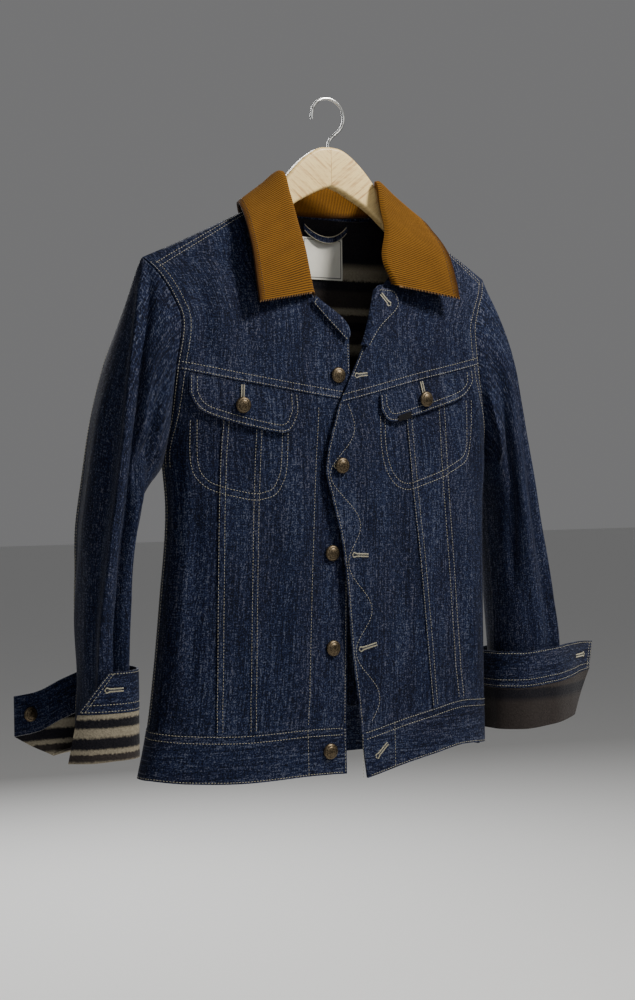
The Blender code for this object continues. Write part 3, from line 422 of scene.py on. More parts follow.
class JacketColours(bpy.types.PropertyGroup):
    """Colours that a maker would change."""
    indigo_deep: colour("Deep indigo", (0.0009, 0.0019, 0.0075), "Denim in its dark threads")
    indigo: colour("Indigo", (0.0026, 0.0060, 0.0245), "Denim in its main threads")
    indigo_light: colour("Light indigo", (0.0105, 0.0180, 0.050), "Denim where it is worn")
    weft: colour("Weft", (0.064, 0.072, 0.100), "Pale threads that show between the indigo")
    thread: colour("Thread", (0.40, 0.37, 0.27), "Topstitching thread")
    corduroy: colour("Corduroy", (0.195, 0.087, 0.010), "Crests of the corduroy")
    # Painted shade for the corduroy's grooves, and also the colour of the collar's tan thread
    corduroy_groove_shade_and_thread: colour("Deep corduroy", (0.038, 0.015, 0.003), "Grooves of the corduroy")
    wool_navy: colour("Navy wool", (0.004, 0.005, 0.010), "Dark stripes of the lining")
    wool_grey: colour("Grey wool", (0.034, 0.028, 0.026), "Ground of the lining")
    wool_cream: colour("Cream wool", (0.33, 0.29, 0.21), "Light stripes of the lining")
    label: colour("Label", (0.72, 0.70, 0.62), "Plain woven label")
    wood: colour("Wood", (0.88, 0.65, 0.29), "Light wood of the hanger")
    wood_dark: colour("Wood grain", (0.50, 0.27, 0.10), "Grain of the hanger")
    steel: colour("Steel", (0.72, 0.72, 0.70), "Hook")
    bronze: colour("Bronze", (0.15, 0.115, 0.072), "Worn face of the buttons")
    bronze_dark: colour("Dark bronze", (0.028, 0.022, 0.016), "Buttons in their hollows")


def sizes():
    return bpy.context.scene.jacket_sizes


def in_mm(name):
    return getattr(sizes(), name) / MM


def colours():
    return bpy.context.scene.jacket_colours


# --- small helpers

def blend(a, b, t):
    return a + (b - a) * t


def ease(t):
    """A smooth step from 0 to 1."""
    t = min(max(t, 0.0), 1.0)
    return t * t * (3 - 2 * t)


def steps(start, end, count):
    """Evenly spaced values, both ends included."""
    return [start + (end - start) * i / count for i in range(count + 1)]


def refine(marks, spacing, least=1):
    """The marks, with evenly spaced values between them no further apart than the spacing."""
    found = [marks[0]]
    for low, high in zip(marks, marks[1:]):
        count = max(least, math.ceil(abs(high - low) / spacing))
        found += steps(low, high, count)[1:]
    return found


# --- creases

class Creases:
    """Soft ridges and troughs laid on a piece in the piece's own millimetres, or in degrees round
    a sleeve: each row is a height, a half width, how sharp its crest is, and a line of points."""

    def __init__(self, *rows, ripple, seed, ripple_size):
        self.ripple = ripple
        self.place = seed
        self.ripple_size = ripple_size
        self.lines = []
        for height, width, sharp, *points in rows:
            points = [Vector(point) for point in points]
            length = sum((b - a).length for a, b in zip(points, points[1:]))
            self.lines.append((height, width, 2.0 - 0.8 * sharp, points, length))

    def lift(self, across, along):
        here = Vector((across, along))
        total = 0.0
        for height, width, power, points, length in self.lines:
            nearest, share, way = 4 * width, 0.0, 0.0
            for one, two in zip(points, points[1:]):
                run = two - one
                t = min(max((here - one).dot(run) / run.length_squared, 0.0), 1.0)
                reach = (here - one - run * t).length
                if reach < nearest:
                    nearest, share = reach, (way + t * run.length) / length
                way += run.length
            if nearest < 4 * width:
                taper = ease(share / 0.25 + 0.15) * ease((1 - share) / 0.25 + 0.15)
                total += height * taper * math.exp(-(nearest / width) ** power)
        wide, long = self.ripple_size
        return total + self.ripple * noise.noise(Vector((across / wide, along / long, self.place)))


FRONT_CREASES = Creases(
    (2.5, 6, 0.5, (-190, -212), (-188, -250), (-191, -292)),
    (-2.1, 7, 0.2, (-176, -205), (-172, -250), (-176, -292)),
    (1.8, 11, 0.3, (-150, -185), (-158, -240), (-150, -300)),
    (-1.4, 14, 0.1, (-118, -170), (-130, -240), (-118, -300)),
    (1.4, 16, 0.1, (-84, -235), (-92, -280), (-80, -312)),
    (2.8, 8, 0.3, (-190, -345), (-190, -410), (-197, -520), (-210, -650)),
    (-2.1, 8, 0.2, (-178, -420), (-184, -520), (-194, -650)),
    (1.4, 14, 0.1, (-146, -450), (-152, -560), (-158, -640)),
    (-1.4, 14, 0.1, (-98, -380), (-104, -480), (-112, -600)),
    (1.6, 14, 0.1, (-66, -420), (-76, -520), (-80, -650)),
    (-1.5, 11, 0.2, (-34, -350), (-40, -440), (-44, -540)),
    (1.1, 9, 0.2, (-100, -655), (-60, -640), (-30, -655)),
    (-1.1, 9, 0.1, (-200, -630), (-160, -648), (-110, -640)),
    (2.1, 12, 0.2, (26, -345), (12, -400), (16, -470)),
    (-1.6, 13, 0.1, (50, -420), (52, -500), (66, -600)),
    (1.6, 12, 0.1, (8, -490), (16, -570), (30, -650)),
    (1.4, 14, 0.1, (84, -450), (92, -540), (106, -640)),
    (2.3, 7, 0.4, (152, -205), (148, -250), (156, -288)),
    (-2.1, 6, 0.3, (162, -215), (157, -255), (164, -286)),
    (2.3, 8, 0.4, (160, -300), (166, -350), (176, -392)),
    (-2.1, 7, 0.3, (150, -310), (157, -360), (170, -420)),
    (1.7, 11, 0.1, (148, -440), (156, -520), (168, -640)),
    (-1.1, 10, 0.1, (110, -600), (140, -630), (172, -640)),
    (1.1, 12, 0.1, (100, -190), (112, -240), (106, -290)),
    ripple=1.6, seed=2.3, ripple_size=(60, 130),
)
BACK_CREASES = Creases(
    (1.8, 12, 0.3, (-176, -200), (-146, -240), (-120, -284)),
    (1.9, 11, 0.3, (152, -200), (124, -240), (104, -284)),
    (-1.2, 18, 0, (-60, -170), (-50, -230), (-40, -288)),
    (1.1, 16, 0, (66, -180), (58, -230), (46, -288)),
    (2.6, 12, 0.3, (-176, -330), (-158, -400), (-150, -480)),
    (-2.1, 16, 0.1, (-116, -400), (-124, -500), (-132, -610)),
    (2.1, 15, 0.2, (-78, -450), (-84, -540), (-94, -650)),
    (-1.8, 20, 0, (-14, -380), (-26, -480), (-30, -620)),
    (2, 16, 0.2, (28, -430), (34, -540), (42, -650)),
    (-2.2, 17, 0.1, (84, -370), (90, -470), (98, -600)),
    (2.5, 12, 0.3, (158, -330), (142, -400), (134, -490)),
    (1.4, 13, 0.1, (138, -510), (148, -580), (160, -650)),
    (1.5, 11, 0.1, (-196, -500), (-186, -580), (-180, -655)),
    (-1.1, 10, 0, (-80, -304), (0, -314), (80, -304)),
    ripple=2, seed=7.1, ripple_size=(70, 150),
)


# --- the body's form

def share_across(x, z):
    """Where x lies between the body's sides at height z, from -1 to 1."""
    left, right = BODY(z, "left"), BODY(z, "right")
    return (2 * x - left - right) / (right - left)


def crest(x, back):
    """Depth and height of the line that the front or back hangs from."""
    if back and abs(x) < NECK_HALF:
        round_neck = math.sqrt(1 - (x / NECK_HALF) ** 2)
        return NECK_DEPTH * round_neck, NECK_TOP - NECK_DIP * round_neck
    return 0.0, SHOULDER(x, "ridge")


def body_point(angle, z, back):
    """Outer surface of the front or back: the angle runs from -90 at the left side to 90."""
    q = math.sin(math.radians(angle))
    left, right = BODY(z, "left"), BODY(z, "right")
    x = blend(left, right, (q + 1) / 2)
    bulge = max(0.0, 1 - abs(q) ** SECTION_POWER) ** (1 / SECTION_POWER)
    side = "back" if back else "front"
    y = blend(BODY(z, side + "_edge"), BODY(z, side), bulge)
    crest_y, crest_z = crest(x, back)
    drop = min(max(crest_z - z, 0.0), SHOULDER_ROLL)
    turn = math.sqrt(1 - (1 - drop / SHOULDER_ROLL) ** 2)
    return Vector((x, blend(crest_y, y, turn), z))


def body_place(angle, z, back):
    """Point and outward direction of the front or back at an angle round its section."""
    here = body_point(angle, z, back)
    crest_z = crest(here.x, back)[1]
    if crest_z - z < 1.0:
        if back and abs(here.x) < NECK_HALF:
            lean = math.sqrt(1 - (here.x / NECK_HALF) ** 2)
            normal = Vector((0.0, lean, 1 - lean)).normalized()
        else:
            slope = (SHOULDER(here.x + 1, "ridge") - SHOULDER(here.x - 1, "ridge")) / 2
            normal = Vector((-slope, 0.0, 1.0)).normalized()
    else:
        low = body_point(max(angle - 1.5, -90), z, back)
        high = body_point(min(angle + 1.5, 90), z, back)
        upper = body_point(angle, min(z + 1.5, crest_z - 0.1), back)
        lower = body_point(angle, z - 1.5, back)
        normal = (high - low).cross(upper - lower).normalized()
        if back:
            normal = -normal
    return here, normal


def body_rise(x, z, back):
    """How far the creases raise the cloth here: nothing at the sides, armholes and shoulders."""
    left, right = BODY(z, "left"), BODY(z, "right")
    side = min(x - left, right - x)
    crest_z = crest(x, back)[1]
    fade = ease((side - 3) / 16) * ease((crest_z - z - 6) / 20)
    if not fade:
        return 0.0
    creases = BACK_CREASES if back else FRONT_CREASES
    if back:
        fade *= ease((BACK_SEAM + 150 - z) / 60)
    return fade * creases.lift(x, z)


def body_at(x, z, lift, back=False):
    """Point and outward direction on the creased front or back, lifted off it."""
    q = min(max(share_across(x, z), -1.0), 1.0)
    here, normal = body_place(math.degrees(math.asin(q)), z, back)
    return here + normal * (lift + body_rise(x, z, back)), normal


def overlap_lift(x):
    """The buttonhole front stands over the button front and comes down to its own side."""
    return OVERLAP_LIFT * (1 - ease((x - 5) / 60))


def sink(x, z):
    """How far the button front falls back towards its edge, under the buttonhole front."""
    return BUTTON_FRONT_SINK * ease((x + 58) / 34) * ease((-352 - z) / 70)


def front_at(x, z, lift, right):
    """Point and outward direction on the left or right front."""
    return body_at(x, z, lift + (overlap_lift(x) if right else -sink(x, z)))


def across_at(angle, z):
    """The x of an angle round the body's section."""
    left, right = BODY(z, "left"), BODY(z, "right")
    return blend(left, right, (math.sin(math.radians(angle)) + 1) / 2)


def yoke_side(row, right):
    """Height on the armhole where a row of the front yoke ends."""
    seam, side = (YOKE_SEAM_RIGHT, "right") if right else (YOKE_SEAM, "left")
    top = SHOULDER(TIP_RIGHT if right else TIP_LEFT, "seam_height")
    return blend(top, seam(BODY(-300, side), "height"), row)


def panel_ends(right):
    """Seam above, waistband line below, front edge, lines and side of one front panel."""
    if right:
        return YOKE_SEAM_RIGHT, BAND_RIGHT, EDGE_RIGHT, PANEL_RIGHT, "right"
    return YOKE_SEAM, BAND_LEFT, EDGE_LEFT, PANEL_LEFT, "left"


def panel_spot(line, row, right):
    """Across, height and raised height of the front panel: the line counts along its table."""
    seam, band, edge, lines, side = panel_ends(right)
    low = min(int(line), len(lines) - 2)
    spots = []
    for name, upper, lower, lift in lines[low:low + 2]:
        top_x, foot_x = upper, lower
        if name == "side":
            top_x, foot_x = upper + BODY(-300, side), lower + BODY(-670, side)
        z = blend(seam(top_x, "height") - SEAM_GAP, band(foot_x, "height") + SEAM_GAP, row)
        x = blend(upper, lower, row) + (BODY(z, side) if name == "side" else 0.0)
        spots.append((x, z, lift))
    x, z, rise = (blend(here, after, line - low) for here, after in zip(*spots))
    pull = edge(z, "across") - blend(lines[0][1], lines[0][2], row)
    x += pull * (1 - ease(line / 3))
    return x, z, rise * ease(row / 0.1)


# --- making cloth

def measure(grid):
    """Width, length and area of a grid of points, in metres."""
    points = np.array([[tuple(p) for p in row] for row in grid]) * MM
    wide = np.linalg.norm(np.diff(points, axis=1), axis=2)
    long = np.linalg.norm(np.diff(points, axis=0), axis=2)
    one = points[1:, 1:] - points[:-1, :-1]
    two = points[1:, :-1] - points[:-1, 1:]
    area = np.linalg.norm(np.cross(one, two), axis=2) / 2
    return wide, long, area


@functools.lru_cache(maxsize=None)
def girth(back):
    """Angles round the body and how far round the cloth each one lies, at the chest."""
    angles = steps(-90, 90, 90)
    spots = [body_point(angle, CHEST, back) for angle in angles]
    ways = np.cumsum([0.0] + [(b - a).length for a, b in zip(spots, spots[1:])])
    return angles, ways


def upright_weave(back):
    """A map for body cloth: its threads hang upright, and lie evenly round the body."""
    angles, ways = girth(back)

    def weave(here):
        q = min(max(share_across(here.x, here.z), -1.0), 1.0)
        return np.interp(math.degrees(math.asin(q)), angles, ways) * MM, here.z * MM
    return weave


def level_weave(back):
    """A map for bands, whose threads run round the body."""
    upright = upright_weave(back)
    return lambda here: upright(here)[::-1]


def cloth(name, columns, rows, place, wall, material, slot, node, keep=None, held="hung",
          rests_on=(), outward=1.0, relief=None, free="lrtb", weave=None, turned=False):
    """A sheet of cloth with its wall: place(column, row) gives a point and outward direction.

    The wall goes inward from there, or outward where outward is -1. relief(column, row) raises
    only the face that shows. free names the edges that are worn: left, right, top and bottom."""
    across, down = len(columns) - 1, len(rows) - 1
    spots = [[place(column, row) for column in columns] for row in rows]
    points = [[spot[0] for spot in line] for line in spots]
    wide, long, area = measure(points)
    v_lines = np.concatenate([[0], np.cumsum(long.mean(axis=1))])
    u_lines = np.concatenate([[0], np.cumsum(wide.mean(axis=0))])
    bm = bmesh.new()
    bmesh.ops.create_grid(bm, x_segments=across, y_segments=down, size=0.5)
    if keep:
        spare = [f for f in bm.faces if not keep(
            columns[int((f.calc_center_median().x + 0.5) * across)],
            rows[int((f.calc_center_median().y + 0.5) * down)])]
        bmesh.ops.delete(bm, geom=spare, context="FACES")
    raised = bmesh.ops.extrude_face_region(bm, geom=bm.faces[:], use_keep_orig=True)
    for part in raised["geom"]:
        if isinstance(part, bmesh.types.BMVert):
            part.co.z = 1.0
    wear = bm.verts.layers.float.new("wear")
    fold = bm.verts.layers.float.new("fold")
    uv = bm.loops.layers.uv.new("weave")
    spots_of = {}
    for vert in bm.verts:
        i = round((vert.co.x + 0.5) * across)
        j = round((vert.co.y + 0.5) * down)
        spots_of[vert.index] = (i, j)
        here, normal = spots[j][i][:2]
        depth = wall * vert.co.z
        lift = relief(columns[i], rows[j]) if relief and vert.co.z == (outward < 0) else 0.0
        vert[fold] = lift
        reach = {"l": u_lines[i], "r": u_lines[-1] - u_lines[i],
                 "t": v_lines[j], "b": v_lines[-1] - v_lines[j]}
        if free:
            vert[wear] = math.exp(-min(reach[edge] for edge in free) / MM / WEAR_REACH)
        vert.co = (here + normal * (lift - depth * outward)) * MM
    bm.verts.index_update()
    for face in bm.faces:
        for loop in face.loops:
            i, j = spots_of[loop.vert.index]
            flat = weave(points[j][i]) if weave else (u_lines[i], v_lines[j])
            loop[uv].uv = flat[::-1] if turned else flat
    kept = area.sum()
    if keep:
        kept = sum(area[j][i] for i in range(across) for j in range(down) if keep(
            columns[i], rows[j]))
    thing = add_piece(name, bm, material, slot, node)
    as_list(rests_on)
    return thing


def denim_cloth(name, columns, rows, place, node, **more):
    """A sheet of single denim."""
    return cloth(name, columns, rows, place, in_mm("denim"), denim(), "denim", node, **more)


def add_piece(name, bm, material, slot, *nodes, smooth=40):
    """Close a bmesh into a piece that rides on the garment and stands for its nodes."""
    bmesh.ops.recalc_face_normals(bm, faces=bm.faces[:])
    if bm.calc_volume(signed=True) < 0:
        bmesh.ops.reverse_faces(bm, faces=bm.faces[:])
    mesh = bpy.data.meshes.new(name)
    bm.to_mesh(mesh)
    bm.free()
    return add_mesh(name, mesh, material, slot, *nodes, smooth=smooth)


def link(thing):
    bpy.context.scene.collection.objects.link(thing)
    return thing


def add_mesh(name, mesh, material, slot, *nodes, smooth=40):
    """Put a finished mesh in the scene, on the garment's body."""
    mesh.materials.append(material)
    mesh.shade_smooth()
    mesh.set_sharp_from_angle(angle=math.radians(smooth))
    thing = link(bpy.data.objects.new(name, mesh))
    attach(thing, BODY_NAME)
    if nodes:
        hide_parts(*nodes)
    return thing


# --- materials

class Shader:
    """A named material with its nodes placed and joined by short calls."""

    def __init__(self, name, roughness, metallic=0.0, sheen=0.0, specular=0.5):
        self.material = bpy.data.materials.new(name)
        self.material.use_nodes = True
        self.tree = self.material.node_tree
        self.surface = self.tree.nodes["Principled BSDF"]
        self.surface.inputs["Roughness"].default_value = roughness
        self.surface.inputs["Metallic"].default_value = metallic
        self.surface.inputs["Sheen Weight"].default_value = sheen
        self.surface.inputs["Sheen Roughness"].default_value = 0.5
        self.surface.inputs["Specular IOR Level"].default_value = specular

    def node(self, kind, settings=(), **inputs):
        """A node with its settings, and its inputs given as values or as other nodes' outputs."""
        made = self.tree.nodes.new(kind)
        for key, value in dict(settings).items():
            setattr(made, key, value)
        for key, value in inputs.items():
            slot = int(key[1:]) if key[0] == "n" and key[1:].isdigit() else key.replace("_", " ")
            self.put(made.inputs[slot], value)
        return made

    def put(self, socket, value):
        if isinstance(value, bpy.types.NodeSocket):
            self.tree.links.new(value, socket)
        elif hasattr(value, "__len__") and len(value) == 3 and socket.type == "RGBA":
            socket.default_value = (*value, 1.0)
        else:
            socket.default_value = value

    def flat(self):
        """The piece's own map, in metres along its weave."""
        return self.node("ShaderNodeUVMap", {"uv_map": "weave"}).outputs["UV"]

    def solid(self):
        return self.node("ShaderNodeTexCoord").outputs["Object"]

    def attribute(self, name):
        return self.node("ShaderNodeAttribute", {"attribute_name": name}).outputs["Fac"]

    def noise(self, where, scale, detail=2.0, rough=0.5):
        """Noise whose blots have about the given sizes in millimetres."""
        mapped = self.node("ShaderNodeMapping", Vector=where)
        mapped.inputs["Scale"].default_value = [1 / (s * MM) for s in scale]
        made = self.node("ShaderNodeTexNoise", Vector=mapped.outputs["Vector"],
                         Scale=1.0, Detail=detail, Roughness=rough)
        return made.outputs["Fac"]

    def wave(self, where, size, turn=0.0, distort=0.0):
        """Bands, one for each size in millimetres, across the first axis after the turn."""
        turned = self.node("ShaderNodeMapping", Vector=where)
        turned.inputs["Rotation"].default_value = (0.0, 0.0, math.radians(turn))
        made = self.node("ShaderNodeTexWave", {"wave_type": "BANDS", "bands_direction": "X"},
                         Vector=turned.outputs["Vector"], Scale=math.pi / 10 / (size * MM),
                         Distortion=distort, Detail=1.0)
        return made.outputs["Fac"]

    def ramp(self, value, *stops):
        """A value read through stops of position and colour or number."""
        made = self.node("ShaderNodeValToRGB", Fac=value)
        elements = made.color_ramp.elements
        while len(elements) < len(stops):
            elements.new(0.5)
        for element, (position, shade) in zip(elements, stops):
            element.position = position
            shade = shade if hasattr(shade, "__len__") else (shade, shade, shade)
            element.color = (*shade, 1.0)
        return made.outputs["Color"]

    def maths(self, kind, one, two=0.0, clamp=False):
        made = self.node("ShaderNodeMath", {"operation": kind, "use_clamp": clamp}, n0=one, n1=two)
        return made.outputs[0]

    def weigh(self, *parts):
        """Patterns that vary about a half, each with its weight, added up about a half."""
        total = 0.5
        for value, weight in parts:
            total = self.maths("ADD", total, self.maths(
                "MULTIPLY", self.maths("SUBTRACT", value, 0.5), weight))
        return total

    def mix(self, share, one, two, kind="MIX"):
        made = self.node("ShaderNodeMix", {"data_type": "RGBA", "blend_type": kind})
        self.put(made.inputs[0], share)
        self.put(made.inputs[6], one)
        self.put(made.inputs[7], two)
        return made.outputs[2]

    def bump(self, height, strength, distance, below=None):
        made = self.node("ShaderNodeBump", Height=height, Strength=strength,
                         Distance=distance * MM)
        if below is not None:
            self.put(made.inputs["Normal"], below)
        return made.outputs["Normal"]

    def finish(self, base, rough=None, normal=None):
        self.put(self.surface.inputs["Base Color"], base)
        if rough is not None:
            self.put(self.surface.inputs["Roughness"], rough)
        if normal is not None:
            self.put(self.surface.inputs["Normal"], normal)
        return self.material


@functools.lru_cache(maxsize=None)
def denim():
    """Raw indigo denim: slubby warp, grey weft specks, twill lines and worn edges."""
    tones = colours()
    s = Shader("denim cloth", 0.8, sheen=0.03, specular=0.12)
    where = s.flat()
    warp = s.noise(where, (1.5, 8.0, 1), detail=2.0, rough=0.6)
    slub = s.noise(where, (2.6, 70, 1), detail=2.0, rough=0.6)
    weft = s.noise(where, (6.0, 1.5, 1), detail=2.0, rough=0.6)
    speck = s.noise(where, (1.3, 1.7, 1), detail=1.0)
    cloud = s.noise(where, (38, 120, 1), detail=2.0)
    twill = s.wave(where, 1.3, turn=-62.0, distort=1.5)
    tone = s.weigh((warp, 1.2), (slub, 0.85), (weft, 0.85), (speck, 1.3), (cloud, 0.35),
                   (twill, 0.05))
    tone = s.maths("ADD", tone, s.maths("MULTIPLY", s.attribute("wear"), 0.07))
    base = s.ramp(tone, (0.22, tones.indigo_deep), (0.48, tones.indigo),
                  (0.66, tones.indigo_light), (0.86, tones.weft))
    dusk = s.ramp(s.noise(where, (30, 140, 1), detail=1.0), (0.42, 0.0), (0.62, 1.0))
    base = s.mix(s.maths("MULTIPLY", dusk, 0.45), base, (1.0, 0.80, 0.74), "MULTIPLY")
    grain = s.bump(s.weigh((warp, 0.6), (weft, 0.5), (twill, 0.3), (speck, 0.6)), 0.5, 0.6)
    pucker = s.maths("MULTIPLY", s.noise(where, (5.5, 7, 1), detail=1.0), s.attribute("wear"))
    return s.finish(base, s.ramp(speck, (0.3, 0.9), (0.7, 0.7)), s.bump(pucker, 0.8, 1.6, grain))


@functools.lru_cache(maxsize=None)
def corduroy():
    """Ochre corduroy, with painted shade in the grooves of its wales and a painted highlight on
    their crests.
    """
    tones = colours()
    s = Shader("corduroy", 0.9, sheen=0.04, specular=0.08)
    where = s.flat()
    # Height of the wales' relief: the mask for painted shade in the grooves and a painted highlight
    # on the crests
    painted_wale_shade_mask = s.attribute("fold")
    nap = s.noise(where, (0.9, 1.6, 1), detail=3.0, rough=0.65)
    worn = s.noise(where, (18, 30, 1), detail=2.0)
    tone = s.maths("MULTIPLY", painted_wale_shade_mask, 1.6)
    tone = s.maths("ADD", tone, s.maths("MULTIPLY", s.maths("SUBTRACT", nap, 0.5), 0.5))
    tone = s.maths("ADD", tone, s.maths("MULTIPLY", s.maths("SUBTRACT", worn, 0.5), 0.25))
    # The groove colour is painted shade, and the stop above the corduroy's own colour is a painted
    # highlight on the crests
    base = s.ramp(tone, (0.06, tones.corduroy_groove_shade_and_thread), (0.62, tones.corduroy),
                  (1.0, [min(1.0, c * 1.35) for c in tones.corduroy]))
    return s.finish(base, None, s.bump(nap, 0.5, 0.4))


def thread_finish(name, shade):
    """Twisted thread of one colour, made once."""
    if name in bpy.data.materials:
        return bpy.data.materials[name]
    s = Shader(name, 0.6, sheen=0.1)
    where = s.solid()
    fuzz = s.noise(where, (0.5, 0.5, 0.5), detail=2.0)
    tint = s.noise(where, (35, 35, 35), detail=1.0)
    base = s.mix(fuzz, [c * 0.72 for c in shade], [min(1.0, c * 1.2) for c in shade])
    base = s.mix(s.maths("MULTIPLY", tint, 0.5), base, [c * 0.78 for c in shade])
    return s.finish(base, None, s.bump(fuzz, 0.4, 0.2))


def cream_thread():
    return thread_finish("cream thread", tuple(colours().thread))


# --- body pieces

YOKE_STEPS = refine([0.0, 0.1, 0.23, 0.4, 0.56, 0.72, 0.88, 1.0], 0.03)


def back_yoke():
    """Back yoke from its seam, up over the ridge to the shoulder seam in front."""
    columns = [blend(-NECK_HALF, TIP_LEFT, share) for share in reversed(YOKE_STEPS)]
    columns += refine([-NECK_HALF, -82, -76, -62, 62, 76, 82, NECK_HALF], 4.0)[1:-1]
    columns += [blend(NECK_HALF, TIP_RIGHT, share) for share in YOKE_STEPS]
    rows = refine([-1.0, 0.0], 0.2) + refine([0.0, 0.035, 0.1, 1.0], 0.025)[1:]

    def place(column, row):
        return yoke_back_at(column, row, 0.0)

    def keep(column, row):
        return row >= 0 or column < -NECK_HALF or column >= NECK_HALF

    denim_cloth("back_yoke_cloth", columns, rows, place, "back_yoke", keep=keep,
                rests_on=["hanger_arm_left", "hanger_arm_right"], weave=upright_weave(True))


def yoke_back_at(column, row, lift):
    """A place on the back yoke: rows below 0 lie in front of the ridge."""
    middle = (TIP_LEFT + TIP_RIGHT) / 2
    ridge = SHOULDER(column, "ridge")
    if row < 0:
        x = blend(column, SHOULDER(column, "seam_across"), -row)
        return body_at(x, blend(ridge, SHOULDER(column, "seam_height"), -row), lift)
    top = crest(column, True)[1]
    z = blend(top, BACK_SEAM, row)
    tip_share = (column - middle) / (TIP_RIGHT - middle)
    q = blend(share_across(column, top), tip_share, ease(row * 3))
    left, right = BODY(z, "left"), BODY(z, "right")
    return body_at(blend(left, right, (q + 1) / 2), z, lift, back=True)


def back_body():
    """Back from the yoke seam to the waistband."""
    rows = refine([BACK_SEAM - SEAM_GAP, ARMPIT, BACK_BAND_TOP + SEAM_GAP], 3.6)

    def place(angle, z):
        return body_at(across_at(angle, z), z, 0.0, back=True)

    denim_cloth("back_cloth", refine([-90, 90], 1.8), rows, place, "back_body",
                rests_on=["back_yoke"], free="tb", weave=upright_weave(True))


def front_yoke(right):
    """Front yoke from the shoulder seam to the panel seam."""
    neck = NECK_RIGHT if right else NECK_LEFT
    seam = YOKE_SEAM_RIGHT if right else YOKE_SEAM
    side, tip = ("right", TIP_RIGHT) if right else ("left", TIP_LEFT)
    shoulder = NECK_HALF if right else -NECK_HALF

    def top_line(column):
        ridge_x = blend(shoulder, tip, column)
        return Vector((SHOULDER(ridge_x, "seam_across"), SHOULDER(ridge_x, "seam_height")))

    def foot_line(column):
        x = blend(neck(1, "across"), BODY(yoke_side(1, right), side), column)
        return Vector((x, seam(x, "height")))

    def armhole_line(row):
        z = yoke_side(row, right)
        return Vector((BODY(z, side), z))

    def place(column, row):
        inner = Vector((neck(row, "across"), neck(row, "height")))
        flat = (top_line(column) * (1 - row) + foot_line(column) * row
                + inner * (1 - column) + armhole_line(row) * column)
        corners = (top_line(0).lerp(top_line(1), column) * (1 - row)
                   + foot_line(0).lerp(foot_line(1), column) * row)
        x, z = flat - corners
        z += SEAM_GAP * (row * 2 - 1)
        return front_at(x, z, 0.9 * ease((row - 0.93) / 0.05), right)

    denim_cloth("front_yoke_cloth_" + side, YOKE_STEPS, refine([0.0, 1.0], 0.016), place,
                "front_yoke_" + side, rests_on=["back_yoke"], free="ltb",
                weave=upright_weave(False))


def front_panel(right):
    """Front panel with its two pleats, from the yoke seam to the waistband."""
    lines, side = panel_ends(right)[3:]
    columns = [0.0]
    for index, (here, after) in enumerate(zip(lines, lines[1:])):
        width = abs(after[1] - here[1]) if here[0] != "side" and after[0] != "side" else 14
        columns += steps(index, index + 1, max(1, math.ceil(width / 2.7)))[1:]

    def place(line, row):
        x, z, rise = panel_spot(line, row, right)
        return front_at(x, z, rise, right)

    denim_cloth("front_panel_cloth_" + side, columns, refine([0.0, 0.1, 1.0], 0.01), place,
                "front_panel_" + side, rests_on=["front_yoke_" + side], free="ltb",
                weave=upright_weave(False))


def band_at(angle, row, back, right, angles):
    """A place on the waistband: the row runs from its top to its foot."""
    top_line, edge = None, None
    if not back:
        top_line, edge = (BAND_RIGHT, EDGE_RIGHT) if right else (BAND_LEFT, EDGE_LEFT)
    z = BACK_BAND_TOP
    x = across_at(angle, z)
    for _ in range(2):
        z = (BACK_BAND_TOP if back else top_line(x, "height")) - row * WAISTBAND_HEIGHT
        x = across_at(angle, z)
        if edge:
            start = math.sin(math.radians(angles[0]))
            end = math.sin(math.radians(angles[1]))
            share = (math.sin(math.radians(angle)) - start) / (end - start)
            x = blend(edge(z, "across"), BODY(z, "right" if right else "left"), share)
    if back:
        return body_at(x, z, BAND_LIFT, back=True)
    return front_at(x, z, BAND_LIFT, right)


BAND_ANGLES = {"left": (2, -90), "right": (2, 90), "back": (-90, 90)}


def waistbands():
    """The band in three lengths that meet at the side seams."""
    for side, angles in BAND_ANGLES.items():
        back, right = side == "back", side == "right"

        def place(angle, row):
            return band_at(angle, row, back, right, angles)

        cloth("waistband_cloth_" + side, refine(list(angles), 1.6), steps(0.0, 1.0, 16), place,
              in_mm("double_denim"), denim(), "denim", "waistband_" + side,
              rests_on=["back_body" if back else "front_panel_" + side],
              free="tb" if back else "ltb", weave=level_weave(back))


def lapel(right):
    """A front corner rolled outwards over the yoke."""
    neck = NECK_RIGHT if right else NECK_LEFT
    edge = LAPEL_RIGHT if right else LAPEL_LEFT
    side = "right" if right else "left"

    def place(column, row):
        share, aside, stand, turn = LAPEL_ROLL[column]
        down = blend(edge(0, "neck"), edge(1, "neck"), row)
        roll = Vector((neck(down, "across"), neck(down, "height")))
        tip = Vector((edge(row, "across"), edge(row, "height")))
        inward = (roll - tip).normalized()
        turn = math.radians(turn)
        x, z = roll.lerp(tip, share) + inward * aside
        inner = front_at(x, z, stand, right)[0]
        deep = roll.lerp(tip, share) + inward * (aside + math.sin(turn))
        outer = front_at(*deep, stand + math.cos(turn), right)[0]
        return inner, (outer - inner).normalized()

    denim_cloth("lapel_cloth_" + side, list(range(len(LAPEL_ROLL))), steps(0.0, 1.0, 24), place,
                "lapel_" + side, held="folded", rests_on=["front_yoke_" + side], outward=-1.0,
                free="rtb", weave=upright_weave(False))


def flap_at(share, row, right):
    """A place on a pocket flap: its share of the width from the outer end, and the way down."""
    seam = YOKE_SEAM_RIGHT if right else YOKE_SEAM
    ends = FLAP_RIGHT if right else FLAP_LEFT
    x = blend(ends[0], ends[1], share)
    top = seam(x, "height") - FLAP_BELOW_SEAM
    z = top - row * FLAP_DEPTH(share, "depth") * ends[2]
    return front_at(x, z, FLAP_STAND(row, "stand"), right)


